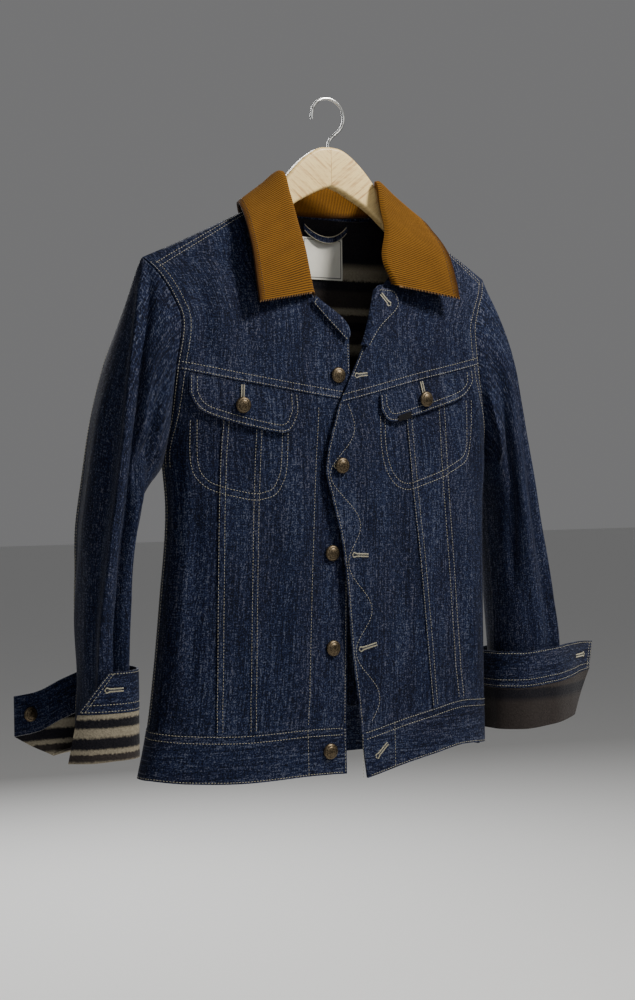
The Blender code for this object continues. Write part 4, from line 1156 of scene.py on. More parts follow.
def pocket_flap(right):
    """Flap over the pocket, lying on the pleats."""
    side = "right" if right else "left"
    columns = refine([0.0, 0.05, 0.13, 0.93, 1.0], 0.018, least=4)

    def place(share, row):
        return flap_at(share, row, right)

    denim_cloth("pocket_flap_cloth_" + side, columns, steps(0.0, 1.0, 16), place,
                "pocket_flap_" + side, rests_on=["front_panel_" + side], free="lrb",
                weave=upright_weave(False))


# --- collar

def collar_cage(step, place):
    """One of the eight lines that the collar is drawn on, from the neck seam to the edge."""
    neck, roll, edge = (Vector([COLLAR(step, p + c) for c in ("_x", "_y", "_z")])
                        for p in ("neck", "roll", "edge"))
    fall = (edge - roll).normalized()
    stand = (neck - roll).normalized()
    turn = min((neck - roll).length, 12.0) * 0.35
    outward = fall - stand
    if place > 4:
        return roll.lerp(edge, (0.35, 0.68, 1.0)[place - 5])
    bend = outward.normalized() * 0.8
    return (neck, neck.lerp(roll, 0.55), roll + stand * turn - bend, roll,
            roll + fall * turn + bend)[place]


@functools.lru_cache(maxsize=None)
def collar_point(step, place):
    """The collar's inner face, smooth between the cage's lines."""
    low = min(int(place), 6)
    t = place - low
    one, two = collar_cage(step, low), collar_cage(step, low + 1)
    before = collar_cage(step, low - 1) if low else one * 2 - two
    after = collar_cage(step, low + 2) if low < 6 else two * 2 - one
    span = (two - one).length
    slope_in = (two - before) * (span / max((two - one).length + (one - before).length, 1e-6))
    slope_out = (after - one) * (span / max((two - one).length + (after - two).length, 1e-6))
    return (one * (2 * t ** 3 - 3 * t * t + 1) + slope_in * (t ** 3 - 2 * t * t + t)
            + two * (3 * t * t - 2 * t ** 3) + slope_out * (t ** 3 - t * t))


def collar_at(step, place):
    """Point and outward direction on the inner face of the collar."""
    here = collar_point(step, place)
    along_way = collar_point(min(step + 0.1, 16), place) - collar_point(max(step - 0.1, 0), place)
    across_way = collar_point(step, min(place + 0.3, 7)) - collar_point(step, max(place - 0.3, 0))
    return here, along_way.cross(across_way).normalized()


WALE_STEPS = 5


def collar_steps():
    """Steps along the collar, five for each wale, evenly spaced along its edge."""
    fine = steps(0.0, 16.0, 640)
    ways = [0.0]
    for one, two in zip(fine, fine[1:]):
        ways.append(ways[-1] + (collar_point(two, 6) - collar_point(one, 6)).length)
    count = round(ways[-1] / in_mm("wale")) * WALE_STEPS
    return [float(np.interp(way, ways, fine)) for way in steps(0.0, ways[-1], count)]


def collar():
    """Stand and fall in one folded piece, open at the front, with wales from neck to edge."""
    along = collar_steps()
    number = {step: index for index, step in enumerate(along)}
    height = in_mm("wale_height")

    def relief(step, place):
        swell = 0.5 - 0.5 * math.cos(2 * math.pi * number[step] / WALE_STEPS)
        edge = min(ease(place / 0.3), ease((7 - place) / 0.25))
        return height * swell ** 0.7 * edge

    across = refine([0, 2, 4, 7], 0.35)
    cloth("collar_corduroy", along, across, collar_at, in_mm("corduroy"), corduroy(), "corduroy",
          "collar", held="folded", rests_on=["back_yoke"], outward=-1.0, relief=relief, free="")


# --- sleeves and cuffs

def armhole_point(angle, right):
    """A point on the body's armhole edge: angle 0 at the tip, 90 in front, 180 at the armpit."""
    turn = math.radians(angle)
    z = blend(TIP_HEIGHT, ARMPIT, (1 - math.cos(turn)) / 2)
    point = body_point(90 if right else -90, z, back=math.sin(turn) < 0)
    out = ARMHOLE_GAP if right else -ARMHOLE_GAP
    return point + Vector((out, 0, 0))


def armhole_angle(z):
    """The angle round the armhole of a height on it."""
    share = (z - TIP_HEIGHT) / (ARMPIT - TIP_HEIGHT)
    return math.degrees(math.acos(1 - 2 * min(max(share, 0.0), 1.0)))


def sleeve_point(step, angle, right):
    """Outer surface of a sleeve at a step down and an angle round from its outer line."""
    table = SLEEVE_RIGHT if right else SLEEVE_LEFT
    turn = math.radians(angle)
    outer = Vector((table(step, "outer_x"), 0.0, table(step, "outer_z")))
    inner = Vector((table(step, "inner_x"), 0.0, table(step, "inner_z")))
    power = 2 / SLEEVE_POWER
    along = math.copysign(abs(math.cos(turn)) ** power, math.cos(turn))
    deep = math.copysign(abs(math.sin(turn)) ** power, math.sin(turn))
    ring = (outer + inner) / 2 + (outer - inner) / 2 * along
    ring.y = table(step, "middle") - table(step, "half") * deep
    share = ease(step / 1.6)
    return armhole_point(angle, right).lerp(ring, share)


# Sleeve creases: across is the angle round, and along is the way down from the armhole
SLEEVE_CREASES_LEFT = Creases(
    (7.4, 9, 0.5, (10, 5), (22, 58), (42, 88), (54, 129), (64, 170), (66, 225), (68, 280),
     (60, 333), (52, 400), (48, 465)),
    (-7.4, 8, 0.3, (20, 11), (34, 52), (50, 74), (64, 102), (76, 135), (80, 162), (82, 192),
     (86, 239), (88, 294), (82, 349), (78, 420)),
    (4.1, 6, 0.4, (66, 36), (73, 61), (80, 85), (88, 121), (90, 150)),
    (-3.2, 4, 0.2, (75, 44), (80, 63), (87, 88), (93, 129)),
    (4.1, 5, 0.4, (82, 46), (87, 69), (93, 102), (98, 135)),
    (-6.2, 6, 0.3, (91, 50), (95, 72), (101, 100), (104, 130), (96, 168), (92, 200)),
    (5.9, 5, 0.6, (104, 58), (109, 82), (114, 106), (116, 128), (124, 138)),
    (-5.4, 7, 0.2, (120, 84), (128, 110), (134, 138), (138, 170)),
    (4.9, 10, 0.3, (124, 143), (112, 176), (104, 220), (110, 270), (114, 308), (108, 349),
     (100, 430)),
    (-3.2, 10, 0.1, (136, 230), (134, 300), (128, 400)),
    (2.7, 14, 0.1, (6, 130), (4, 190), (4, 240), (8, 300)),
    (-3.2, 12, 0.1, (30, 160), (38, 230), (38, 300), (26, 400)),
    (3.5, 14, 0.2, (-46, 60), (-56, 140), (-60, 300)),
    (-3.5, 14, 0.1, (-104, 90), (-98, 200), (-90, 330)),
    (3.2, 9, 0.4, (-150, 120), (-126, 160), (-100, 220)),
    (2.4, 9, 0.3, (-140, 300), (-110, 312), (-80, 330)),
    (-2.4, 14, 0.1, (-30, 260), (-44, 340), (-60, 430)),
    ripple=2.4, seed=11.7, ripple_size=(42, 80),
)
SLEEVE_CREASES_RIGHT = Creases(
    (5.3, 10, 0.5, (22, 20), (38, 77), (54, 104), (56, 151), (54, 206), (56, 278), (62, 338),
     (60, 450)),
    (-7, 13, 0.2, (56, 34), (82, 50), (100, 80), (112, 120), (122, 180), (132, 240),
     (138, 330)),
    (5.6, 6, 0.5, (98, 22), (108, 40), (118, 60), (126, 84), (140, 100)),
    (3.4, 12, 0.2, (92, 150), (94, 220), (98, 300), (92, 420)),
    (-2.8, 10, 0.1, (76, 200), (76, 300), (80, 440)),
    (3.1, 14, 0.2, (-46, 60), (-56, 140), (-70, 290)),
    (-3.4, 14, 0.1, (-108, 80), (-104, 200), (-98, 320)),
    (3.4, 9, 0.4, (-158, 130), (-130, 170), (-100, 220)),
    (2.2, 14, 0.1, (-36, 300), (-46, 370), (-60, 450)),
    (-2.1, 9, 0.3, (-130, 340), (-100, 352), (-70, 372)),
    ripple=2.4, seed=15.2, ripple_size=(42, 80),
)
STEP_LENGTH = 55.0


def sleeve_rise(step, angle, right):
    """How far creases raise the sleeve: nothing at the armhole or at the turned-back end."""
    creases = SLEEVE_CREASES_RIGHT if right else SLEEVE_CREASES_LEFT
    fade = ease((step - 0.05) / 0.9) * ease((8.8 - step) / 0.7)
    if not fade:
        return 0.0
    way = step * STEP_LENGTH
    angle = (angle + 180) % 360 - 180
    lift = creases.lift(angle, way)
    lift_other = creases.lift(angle + (360 if angle < 0 else -360), way)
    near_seam = ease((abs(angle) - 120) / 60)
    return fade * blend(lift, (lift + lift_other) / 2, near_seam)


def sleeve_at(step, angle, right, lift=0.0):
    """Point and outward direction on the creased sleeve."""
    here = sleeve_point(step, angle, right)
    ahead = sleeve_point(min(step + 0.1, 9), angle, right)
    behind = sleeve_point(max(step - 0.1, 0), angle, right)
    round_way = sleeve_point(step, angle + 3, right) - sleeve_point(step, angle - 3, right)
    level = Vector((1.0 if right else -1.0, 0.0, 0.0))
    down_way = level.lerp((ahead - behind).normalized(), ease(step))
    normal = round_way.cross(down_way).normalized()
    if not right:
        normal = -normal
    lift += sleeve_rise(step, angle, right) - 0.8 * (1 - ease(step / 0.3))
    return here + normal * lift, normal


def sleeve_seams():
    """Angles of the sleeve's back seam and of its seam at the armpit."""
    back = -armhole_angle(blend(TIP_HEIGHT, BACK_SEAM, SLEEVE_SEAM_SHARE))
    return back, armhole_angle(ARMPIT)


def sleeve(right):
    """Main sleeve piece, and the narrower under piece behind it."""
    side = "right" if right else "left"
    back, under = sleeve_seams()
    rows = refine([0.0, 1.6, 9.0], 0.075)

    def place(angle, step):
        return sleeve_at(step, angle, right)

    rests_on = ["back_yoke", "front_yoke_" + side]
    for name, angles in (
            ("sleeve", refine([back + SEAM_TURN, 0.0, 90.0, under - SEAM_TURN], 2.6)),
            ("under_sleeve", refine([back - SEAM_TURN, SEAM_TURN - under], 3.4))):
        denim_cloth(f"{name}_cloth_{side}", angles, rows, place, f"{name}_{side}",
                    rests_on=rests_on, free="lrt")


def cuff_point(table, step, z, lift):
    """A point off the outer face of a turned-back sleeve end, in plan, and its direction."""
    here = Vector((table(step, "across"), table(step, "depth"), z))
    after, before = min(step + 0.1, 9), max(step - 0.1, 0)
    way = Vector((table(after, "across") - table(before, "across"),
                  table(after, "depth") - table(before, "depth"), 0)).normalized()
    outward = Vector((way.y, -way.x, 0))
    return here + outward * lift, outward


def cuff_step(ends, share, row, low, high):
    start = blend(ends[low][0], ends[high][0], row)
    end = blend(ends[low][1], ends[high][1], row)
    return blend(start, end, share)


def lining_at(cuff, share, row):
    """A place on the lining side of a turned-back sleeve end: the row runs up from its foot."""
    side, table, foot, outward = cuff
    step = cuff_step(CUFF_ENDS[side], share, row, "foot", "middle")
    seam = foot + CUFF_LINING_HEIGHT
    z = blend(foot + table(step, "foot"), seam + table(step, "middle"), row)
    here, away = cuff_point(table, step, z, 0.0)
    return here, away * outward


def band_of_cuff_at(cuff, share, row, lift=0.4):
    """A place on the denim band of a turned-back sleeve end: the row runs up."""
    side, table, foot, outward = cuff
    step = cuff_step(CUFF_ENDS[side], share, row, "middle", "top")
    seam = foot + CUFF_LINING_HEIGHT
    low, high = seam + SEAM_GAP * 2, seam + CUFF_BAND_HEIGHT
    z = blend(low + table(step, "middle"), high + table(step, "top"), row)
    here, away = cuff_point(table, step, z, 0.0)
    return here + away * (lift * outward), away * outward


def sleeve_end_below(point, right, depth):
    """The place just under the sleeve's end that is nearest to a point on the cuff's foot."""
    table = SLEEVE_RIGHT if right else SLEEVE_LEFT
    middle = (table(9, "outer_x") + table(9, "inner_x")) / 2
    reach = (table(9, "outer_x") - table(9, "inner_x")) / 2
    turn = math.atan2((table(9, "middle") - point.y) / table(9, "half"),
                      (point.x - middle) / reach)
    end = sleeve_at(9, math.degrees(turn), right, 0.6)[0]
    return Vector((end.x, end.y, table(9, "outer_z") - 0.3 - depth))


def turned_cuff(cuff):
    """Lining side of the turned-back sleeve end, with the cuff band above it."""
    side = cuff[0]
    shares = steps(0.0, 1.0, 110)
    wall = in_mm("lining")

    def lining_place(share, row):
        if row >= 0:
            here, away = lining_at(cuff, share, row)
            if row == 0:
                away = (away + Vector((0, 0, -1))).normalized() * 1.35
            return here, away
        foot = lining_at(cuff, share, 0.0)[0]
        low = sleeve_end_below(foot, side == "right", wall)
        here = foot.lerp(low, -row)
        return here, Vector((0, 0, -1))

    cloth("cuff_lining_wool_" + side, shares, steps(-1.0, 0.0, 4) + steps(0.0, 1.0, 16)[1:],
          lining_place, wall, blanket_cuff(side), "blanket", "cuff_lining_" + side, held="folded",
          rests_on=["sleeve_" + side], free="")

    def band_place(share, row):
        return band_of_cuff_at(cuff, share, row)

    denim_cloth("cuff_band_cloth_" + side, shares, steps(0.0, 1.0, 14), band_place,
                "cuff_band_" + side, held="folded", rests_on=["cuff_lining_" + side], turned=True)


@functools.lru_cache(maxsize=None)
def blanket(name, *stripes):
    """Striped wool with blurred stripe edges and a short nap: each stripe starts at a height."""
    tones = colours()
    shades = {"navy": tones.wool_navy, "grey": tones.wool_grey, "cream": tones.wool_cream}
    s = Shader(name, 0.95, sheen=0.08, specular=0.05)
    where = s.solid()
    way = s.node("ShaderNodeSeparateXYZ", n0=where).outputs["Z"]
    fuzz = s.noise(where, (2.2, 2.2, 2.2), detail=3.0, rough=0.7)
    blur = s.maths("MULTIPLY", s.maths("SUBTRACT", fuzz, 0.5), 5 * MM)
    way = s.maths("ADD", way, blur)
    low, high = stripes[0][0] * MM, stripes[-1][0] * MM
    share = s.maths("DIVIDE", s.maths("SUBTRACT", way, low), high - low)
    stops = []
    for (start, shade), (end, _) in zip(stripes, stripes[1:]):
        soft = 0.12 * (end - start)
        for place in (start + soft, end - soft):
            stops.append(((place * MM - low) / (high - low), shades[shade]))
    base = s.ramp(share, *stops)
    melange = s.noise(where, (1.1, 1.1, 1.1), detail=3.0, rough=0.8)
    base = s.mix(s.ramp(melange, (0.35, 0.0), (0.75, 0.55)), base, tones.wool_grey)
    base = s.mix(s.ramp(fuzz, (0.3, 0.5), (0.7, 0.0)), base, (0.25, 0.24, 0.24), "MULTIPLY")
    return s.finish(base, None, s.bump(fuzz, 0.8, 1.2))


def blanket_cuff(side):
    """Stripes round a turned-back sleeve end."""
    if side == "left":
        return blanket("wool of the left cuff", (-702, "cream"), (-687, "grey"), (-680, "cream"),
                       (-676, "navy"), (-664, "cream"), (-655, "navy"), (-646, "cream"),
                       (-636, "cream"))
    return blanket("wool of the right cuff", (-710, "grey"), (-664, "navy"), (-654, "grey"),
                   (-640, "grey"))


# --- inside the neck

def back_lining():
    """Blanket lining inside the back, as far down as the body hides it."""
    gap = in_mm("denim") + LINING_GAP

    def place(column, row):
        z = blend(crest(column, True)[1], BACK_SEAM, row)
        return body_at(column, z, -gap, back=True)

    wool = blanket("wool of the back", (-330, "navy"), (-268, "cream"), (-262, "grey"),
                   (-246, "navy"), (-236, "grey"), (-228, "cream"), (-222, "grey"),
                   (-201, "navy"), (-190, "cream"), (-178, "navy"), (-110, "navy"))
    columns = refine([-150, -84, 84, 140], 3.5)
    cloth("back_lining_wool", columns, refine([0.012, 1.25], 0.03), place, in_mm("lining"),
          wool, "blanket", "back_lining", rests_on=["back_yoke"], free="")


def inside_neck_at(x, z, lift):
    """A place off the inner face of the back lining, looking into the neck."""
    gap = in_mm("denim") + LINING_GAP + in_mm("lining")
    here, normal = body_at(x, z, -gap - lift, back=True)
    return here, -normal


@functools.lru_cache(maxsize=None)
def label_finish():
    """Plain woven satin label."""
    tones = colours()
    s = Shader("woven label", 0.55, sheen=0.2)
    where = s.flat()
    warp = s.wave(where, 0.6, distort=0.6)
    weft = s.wave(where, 0.5, turn=90.0, distort=0.6)
    soft = s.noise(where, (9, 14, 1), detail=2.0)
    base = s.mix(s.maths("MULTIPLY", soft, 0.5), tones.label, [c * 0.72 for c in tones.label])
    border = s.ramp(s.attribute("wear"), (0.50, 0.0), (0.54, 1.0), (0.64, 1.0), (0.68, 0.0))
    base = s.mix(s.maths("MULTIPLY", border, 0.85), base, tones.wool_navy)
    weave = s.maths("ADD", warp, weft)
    return s.finish(base, None, s.bump(weave, 0.35, 0.25))


def neck_trims():
    """Plain label and hanging loop on the lining under the neck seam."""
    label_left, label_right = -13.0, 38.0
    label_top, label_foot = -144.0, -190.0

    def label_place(column, row):
        return inside_neck_at(blend(label_left, label_right, column),
                              blend(label_top, label_foot, row), 1.9)

    cloth("neck_label_cloth", steps(0, 1, 30), steps(0, 1, 26), label_place, 1.0, label_finish(),
          "label", "neck_label", held="laid", rests_on=["back_lining"])

    cloth("hanging_loop_cloth", steps(0, 1, 48), steps(0, 1, 4), loop_at, 1.6, denim(),
          "denim", "hanging_loop", rests_on=["back_lining"])


def loop_at(column, row):
    """A place on the hanging loop, which sags from its two ends."""
    loop_left, loop_right = -12.0, 44.0
    loop_top, loop_sag, loop_width = -127.5, 16.0, 7.0
    x = blend(loop_left, loop_right, column)
    hang = loop_sag * math.sin(math.pi * column) ** 0.7 if 0 < column < 1 else 0.0
    z = loop_top - hang - row * loop_width
    out = 1.2 + 5.0 * math.sin(math.pi * column)
    return inside_neck_at(x, z, out + 1.6)


def flap_tab():
    """Plain woven tab caught in the lower edge of the right flap."""
    middle, width, height, sits = 61.0, 17.0, 6.5, 0.6

    def place(column, row):
        x = middle + (column - 0.5) * width
        share = (FLAP_RIGHT[0] - x) / (FLAP_RIGHT[0] - FLAP_RIGHT[1])
        foot = YOKE_SEAM_RIGHT(x, "height") - FLAP_BELOW_SEAM
        foot -= FLAP_DEPTH(share, "depth") * FLAP_RIGHT[2]
        z = foot + (1 - row) * height - 1.0
        return front_at(x, z, FLAP_STAND(1, "stand") + sits + 0.9, True)

    cloth("flap_tab_cloth", steps(0, 1, 10), steps(0, 1, 5), place, 0.9, tab_finish(), "label",
          "flap_tab", held="laid", rests_on=["pocket_flap_right"])


@functools.lru_cache(maxsize=None)
def tab_finish():
    """Black woven tab."""
    s = Shader("woven tab", 0.8, specular=0.08)
    where = s.flat()
    weft = s.wave(where, 0.5, turn=90.0, distort=0.4)
    base = s.mix(weft, (0.004, 0.004, 0.005), (0.014, 0.013, 0.014))
    return s.finish(base, None, s.bump(weft, 0.3, 0.2))


# --- buttons

@functools.lru_cache(maxsize=None)
def bronze():
    """Antique bronze, rubbed bright on its high places."""
    tones = colours()
    s = Shader("antique bronze", 0.42, metallic=1.0)
    where = s.solid()
    pits = s.noise(where, (1.1, 1.1, 1.1), detail=4.0, rough=0.6)
    rub = s.node("ShaderNodeNewGeometry").outputs["Pointiness"]
    worn = s.maths("ADD", s.ramp(pits, (0.38, 0.0), (0.62, 1.0)),
                   s.ramp(rub, (0.5, 0.0), (0.6, 0.6)), clamp=True)
    base = s.mix(worn, tones.bronze_dark, tones.bronze)
    return s.finish(base, s.ramp(pits, (0.3, 0.3), (0.7, 0.55)), s.bump(pits, 0.35, 0.3))


def button(name, node, seat, outward, radius):
    """A domed shank button with a rim and a shallow ring, turned about its own axis."""
    height = in_mm("button_height") * radius / in_mm("button")
    profile = (
        (0.0, height),
        (0.16 * radius, 0.995 * height),
        (0.34 * radius, 0.965 * height),
        (0.50 * radius, 0.905 * height),
        (0.58 * radius, 0.865 * height),
        (0.62 * radius, 0.80 * height),
        (0.67 * radius, 0.78 * height),
        (0.72 * radius, 0.80 * height),
        (0.82 * radius, 0.73 * height),
        (0.92 * radius, 0.62 * height),
        (0.985 * radius, 0.50 * height),
        (radius, 0.42 * height),
        (0.97 * radius, 0.33 * height),
        (0.90 * radius, 0.28 * height),
        (0.5 * radius, 0.26 * height),
        (0.36 * radius, 0.2 * height),
        (0.34 * radius, 0.0),
        (0.0, 0.0),
    )
    bm = bmesh.new()
    verts = [bm.verts.new((r * MM, 0.0, h * MM)) for r, h in profile]
    edges = [bm.edges.new(pair) for pair in zip(verts, verts[1:])]
    bmesh.ops.spin(bm, geom=verts + edges, cent=(0, 0, 0), axis=(0, 0, 1),
                   angle=2 * math.pi, steps=48, use_merge=True)
    bmesh.ops.remove_doubles(bm, verts=bm.verts[:], dist=0.00001)
    turn = outward.to_track_quat("Z", "Y").to_matrix().to_4x4()
    bmesh.ops.transform(bm, matrix=turn, verts=bm.verts[:])
    bmesh.ops.translate(bm, vec=seat * MM, verts=bm.verts[:])
    add_piece(name, bm, bronze(), "antique_brass", node, smooth=60)


def buttons():
    """Front and flap buttons on the cloth, and the cuffs' buttons inside their far ends."""
    for node, x, z, right in BUTTONS:
        seat, outward = front_at(x, z, 1.0 if z < -680 else 0.3, right)
        button(node + "_bronze", node, seat, outward, in_mm("button"))
    for node, x, z in FLAP_BUTTONS:
        seat, outward = front_at(x, z, FLAP_STAND(0.6, "stand") + 0.4, x > 0)
        button(node + "_bronze", node, seat, outward, in_mm("button"))
    for side, table, foot, outward in CUFFS:
        z = foot + CUFF_LINING_HEIGHT + CUFF_BAND_HEIGHT * 0.5 + table(CUFF_BUTTON_STEP, "middle")
        seat, away = cuff_point(table, CUFF_BUTTON_STEP, z, (-in_mm("denim") - 0.5) * outward)
        button(f"cuff_button_{side}_bronze", "cuff_button_" + side, seat, away * -outward,
               in_mm("cuff_button"))


# --- stitching

class Thread:
    """Stitches sewn one by one on the cloth, and joined in one mesh."""

    def __init__(self, seed):
        bm = bmesh.new()
        bmesh.ops.create_uvsphere(bm, u_segments=5, v_segments=4, radius=0.5,
                                  matrix=Matrix.Rotation(math.pi / 2, 4, "Y"))
        self.shape = np.array([tuple(v.co) for v in bm.verts])
        self.faces = [[v.index for v in f.verts] for f in bm.faces]
        bm.free()
        self.chance = random.Random(seed)
        self.points = []

    def stitch(self, middle, along, up, length, width, height):
        """One stitch: a slim bead with its length, width and height along three directions."""
        along = along.normalized()
        side = up.cross(along).normalized()
        up = along.cross(side)
        axes = np.array([along * length, side * width, up * height])
        self.points.append(self.shape @ axes + np.array(middle))

    def sew(self, place, route, lift=0.15, length=None, gap=None, thick=None):
        """A row along a route of places, each given to place(column, row)."""
        length = length or in_mm("stitch")
        pitch = length + (in_mm("stitch_gap") if gap is None else gap)
        thick = thick or in_mm("thread")
        spots = [place(*spot) for spot in route]
        points = np.array([tuple(point + normal * lift) for point, normal in spots])
        normals = np.array([tuple(normal) for _, normal in spots])
        ways = np.concatenate([[0], np.cumsum(np.linalg.norm(np.diff(points, axis=0), axis=1))])

        def at(way, table):
            return Vector([np.interp(way, ways, table[:, axis]) for axis in range(3)])

        count = max(1, round(ways[-1] / pitch))
        pitch_here = ways[-1] / count
        for index in range(count):
            middle = (index + 0.5) * pitch_here
            half = length / 2 * self.chance.uniform(0.92, 1.05)
            start, end = at(middle - half, points), at(middle + half, points)
            up = at(middle, normals)
            side = up.cross(end - start).normalized()
            along = end - start + side * self.chance.uniform(-0.16, 0.16)
            self.stitch((start + end) / 2, along, up, half * 2, thick,
                        thick * self.chance.uniform(0.9, 1.15))

    def pair(self, place, route_of, near=NEAR_ROW, far=FAR_ROW):
        """Two rows: route_of(distance) gives the route that lies that far in from the seam."""
        for distance in (near, far):
            self.sew(place, route_of(distance))

    def finish(self, name, material, slot):
        bm = bmesh.new()
        mesh = bpy.data.meshes.new(name)
        each = len(self.shape)
        points = np.concatenate(self.points) * MM
        faces = [[index + each * number for index in face]
                 for number in range(len(self.points)) for face in self.faces]
        mesh.from_pydata(points.tolist(), [], faces)
        bm.from_mesh(mesh)
        bpy.data.meshes.remove(mesh)
        add_piece(name, bm, material, slot, smooth=80)


def on_front(right, lift=0.0):
    """Places on one front, given across and height."""
    def place(x, z):
        return front_at(x, z, lift, right)
    return place


def x_in_from_side(z, distance, right, back=False):
    """The x that lies a distance in from the body's side, measured on the cloth."""
    sign = 1 if right else -1
    angle, way = 90.0, 0.0
    here = body_point(sign * angle, z, back)
    while way < distance:
        angle -= 0.5
        after = body_point(sign * angle, z, back)
        way += (after - here).length
        here = after
    return across_at(sign * angle, z)


def inset(route, distance):
    """A route of flat points moved to its left, without the loops that sharp turns would make."""
    route = [Vector(point) for point in route]
    moved = []
    for before, here, after in zip([route[0]] + route, route, route[1:] + [route[-1]]):
        way = (after - before).normalized()
        point = here + Vector((-way.y, way.x)) * distance
        if min((point - other).length for other in route) > distance * 0.97:
            moved.append(tuple(point))
    return moved


def rounded(points, radius, spacing=3.0):
    """A route of flat points through corners that are rounded off."""
    points = [Vector(point) for point in points]
    route = [points[0]]
    for before, here, after in zip(points, points[1:], points[2:]):
        reach = min(radius, (before - here).length / 2, (after - here).length / 2)
        start = here + (before - here).normalized() * reach
        end = here + (after - here).normalized() * reach
        for t in steps(0, 1, 8):
            route.append(start.lerp(here, t).lerp(here.lerp(end, t), t))
    route.append(points[-1])
    fine = [route[0]]
    for one, two in zip(route, route[1:]):
        count = max(1, math.ceil((two - one).length / spacing))
        fine += [one.lerp(two, t) for t in steps(0, 1, count)[1:]]
    return [tuple(point) for point in fine]


# Pocket bags under the flaps, from the flap's outer end down and round to its inner end
POCKET_LEFT = ((-188, -352), (-184.5, -398), (-181.5, -409.5), (-171, -421.5), (-153, -428.5),
               (-118, -436), (-94, -430.5), (-83.5, -410), (-82, -394), (-80.5, -352))
POCKET_RIGHT = ((157, -327), (159.7, -361), (160.5, -381), (152, -395.5), (143, -400.5),
                (113.7, -414), (90, -421), (66, -427.5), (51, -422), (41, -411.5), (34, -396),
                (30.2, -373), (30.6, -346))


def front_stitching(thread, right):
    """Rows on one front: yoke, armhole, pleats, pocket, flap, placket and edge."""
    seam, _, edge, _, side = panel_ends(right)
    neck = NECK_RIGHT if right else NECK_LEFT
    place = on_front(right)
    inward = -1.0 if right else 1.0
    span = steps(0, 1, 90)
    seam_inner, seam_outer = edge(seam(0, "height"), "across") - inward * 2, BODY(-300, side)

    def above_seam(distance):
        route = [blend(seam_outer + inward * 3, seam_inner, t) for t in span]
        return [(x, seam(x, "height") + distance) for x in route]

    thread.pair(on_front(right, 0.7), above_seam)

    def armhole(distance):
        heights = steps(-190 if right else -189, -400, 80)
        return [(x_in_from_side(z, distance, right), z) for z in heights]

    thread.pair(place, armhole, near=2.0, far=9.0)

    def pleat(line, row):
        x, z, rise = panel_spot(line, row, right)
        return front_at(x, z, rise, right)

    for line in (4.16, 5.73, 9.84, 8.27) if right else (4.16, 5.57, 9.84, 8.37):
        thread.sew(pleat, [(line, row) for row in steps(0.008, 0.994, 120)])
    bag = rounded(POCKET_RIGHT if right else POCKET_LEFT, 9)

    def on_pleats(x, z):
        return front_at(x, z, pleat_rise(x, z, right), right)

    thread.sew(on_pleats, bag)
    thread.sew(on_pleats, inset(bag, -6.6 if right else 6.6))
    flap_stitching(thread, right)
    button_side = steps(-334, -674, 110)
    thread.sew(place, [(edge(z, "across") - inward * 1.7, z) for z in button_side])
    upper = [(neck(row, "across") - inward * 1.8, neck(row, "height"))
             for row in steps(0.895, 0.99, 24)]
    thread.sew(place, upper)
    if right:
        wave = [(edge(z, "across") + 15.5 - 11.5 * math.cos((z + 318) * math.pi / 47), z)
                for z in steps(-334, -673, 150)]
        thread.sew(place, wave)
    else:
        thread.sew(place, [(blend(-44, -65, t), blend(-338, -672, t)) for t in span])


def pleat_rise(x, z, right):
    """How far the front panel's pleats raise the cloth at a place."""
    lines = panel_ends(right)[3]
    for line in range(2, len(lines) - 4):
        row = 0.3
        for _ in range(3):
            spot = panel_spot(line, row, right)
            foot = panel_spot(line, row + 0.1, right)
            row += (z - spot[1]) / (foot[1] - spot[1]) * 0.1
        near, after = panel_spot(line, row, right), panel_spot(line + 1, row, right)
        if min(near[0], after[0]) <= x <= max(near[0], after[0]):
            return blend(near[2], after[2], (x - near[0]) / (after[0] - near[0]))
    return 0.0


def flap_stitching(thread, right):
    """Two rows round the free edges of a pocket flap."""
    ends = FLAP_RIGHT if right else FLAP_LEFT
    width = abs(ends[1] - ends[0])

    def flap_place(across, down):
        share = min(max(across / width, 0.0), 1.0)
        return flap_at(share, down / (FLAP_DEPTH(share, "depth") * ends[2]), right)

    shares = refine([0.0, 0.05, 0.13, 0.93, 1.0], 0.01, least=8)
    depth = [(share * width, FLAP_DEPTH(share, "depth") * ends[2]) for share in shares]
    outline = (rounded([(0.0, 0.0), depth[0]], 0) + depth[1:-1]
               + rounded([depth[-1], (width, 0.0)], 0))
    for distance in (1.7, 7.8):
        row = inset([(x, -y) for x, y in outline], distance)
        thread.sew(flap_place, [(x, -y) for x, y in row if -y > -0.5])


def body_stitching():
    """Cream rows on the fronts, the shoulders, the back, the lapels and the waistband."""
    thread = Thread(3)
    front_stitching(thread, False)
    front_stitching(thread, True)
    thread.finish("front_stitches", cream_thread(), "label")
    thread = Thread(4)
    for side in (-1, 1):
        shoulder_stitching(thread, side)
    for right in (False, True):
        lapel_stitching(thread, right)
    back_stitching(thread)
    band_stitching(thread)
    thread.finish("body_stitches", cream_thread(), "label")


def shoulder_stitching(thread, side):
    """Two rows above one shoulder seam, on the part of the back yoke that comes forward."""
    tip = TIP_RIGHT if side > 0 else TIP_LEFT
    for distance in (NEAR_ROW, FAR_ROW):
        route = []
        for column in steps(side * NECK_HALF, tip + side * -4, 50):
            strip = [yoke_back_at(column, row, 0.0)[0] for row in steps(-1, 0, 8)]
            length = sum((b - a).length for a, b in zip(strip, strip[1:]))
            row = -1 + distance / length
            if row > 0:
                row = (row * length) / 170
            route.append((column, row))
        thread.sew(lambda column, row: yoke_back_at(column, row, 0.0), route)


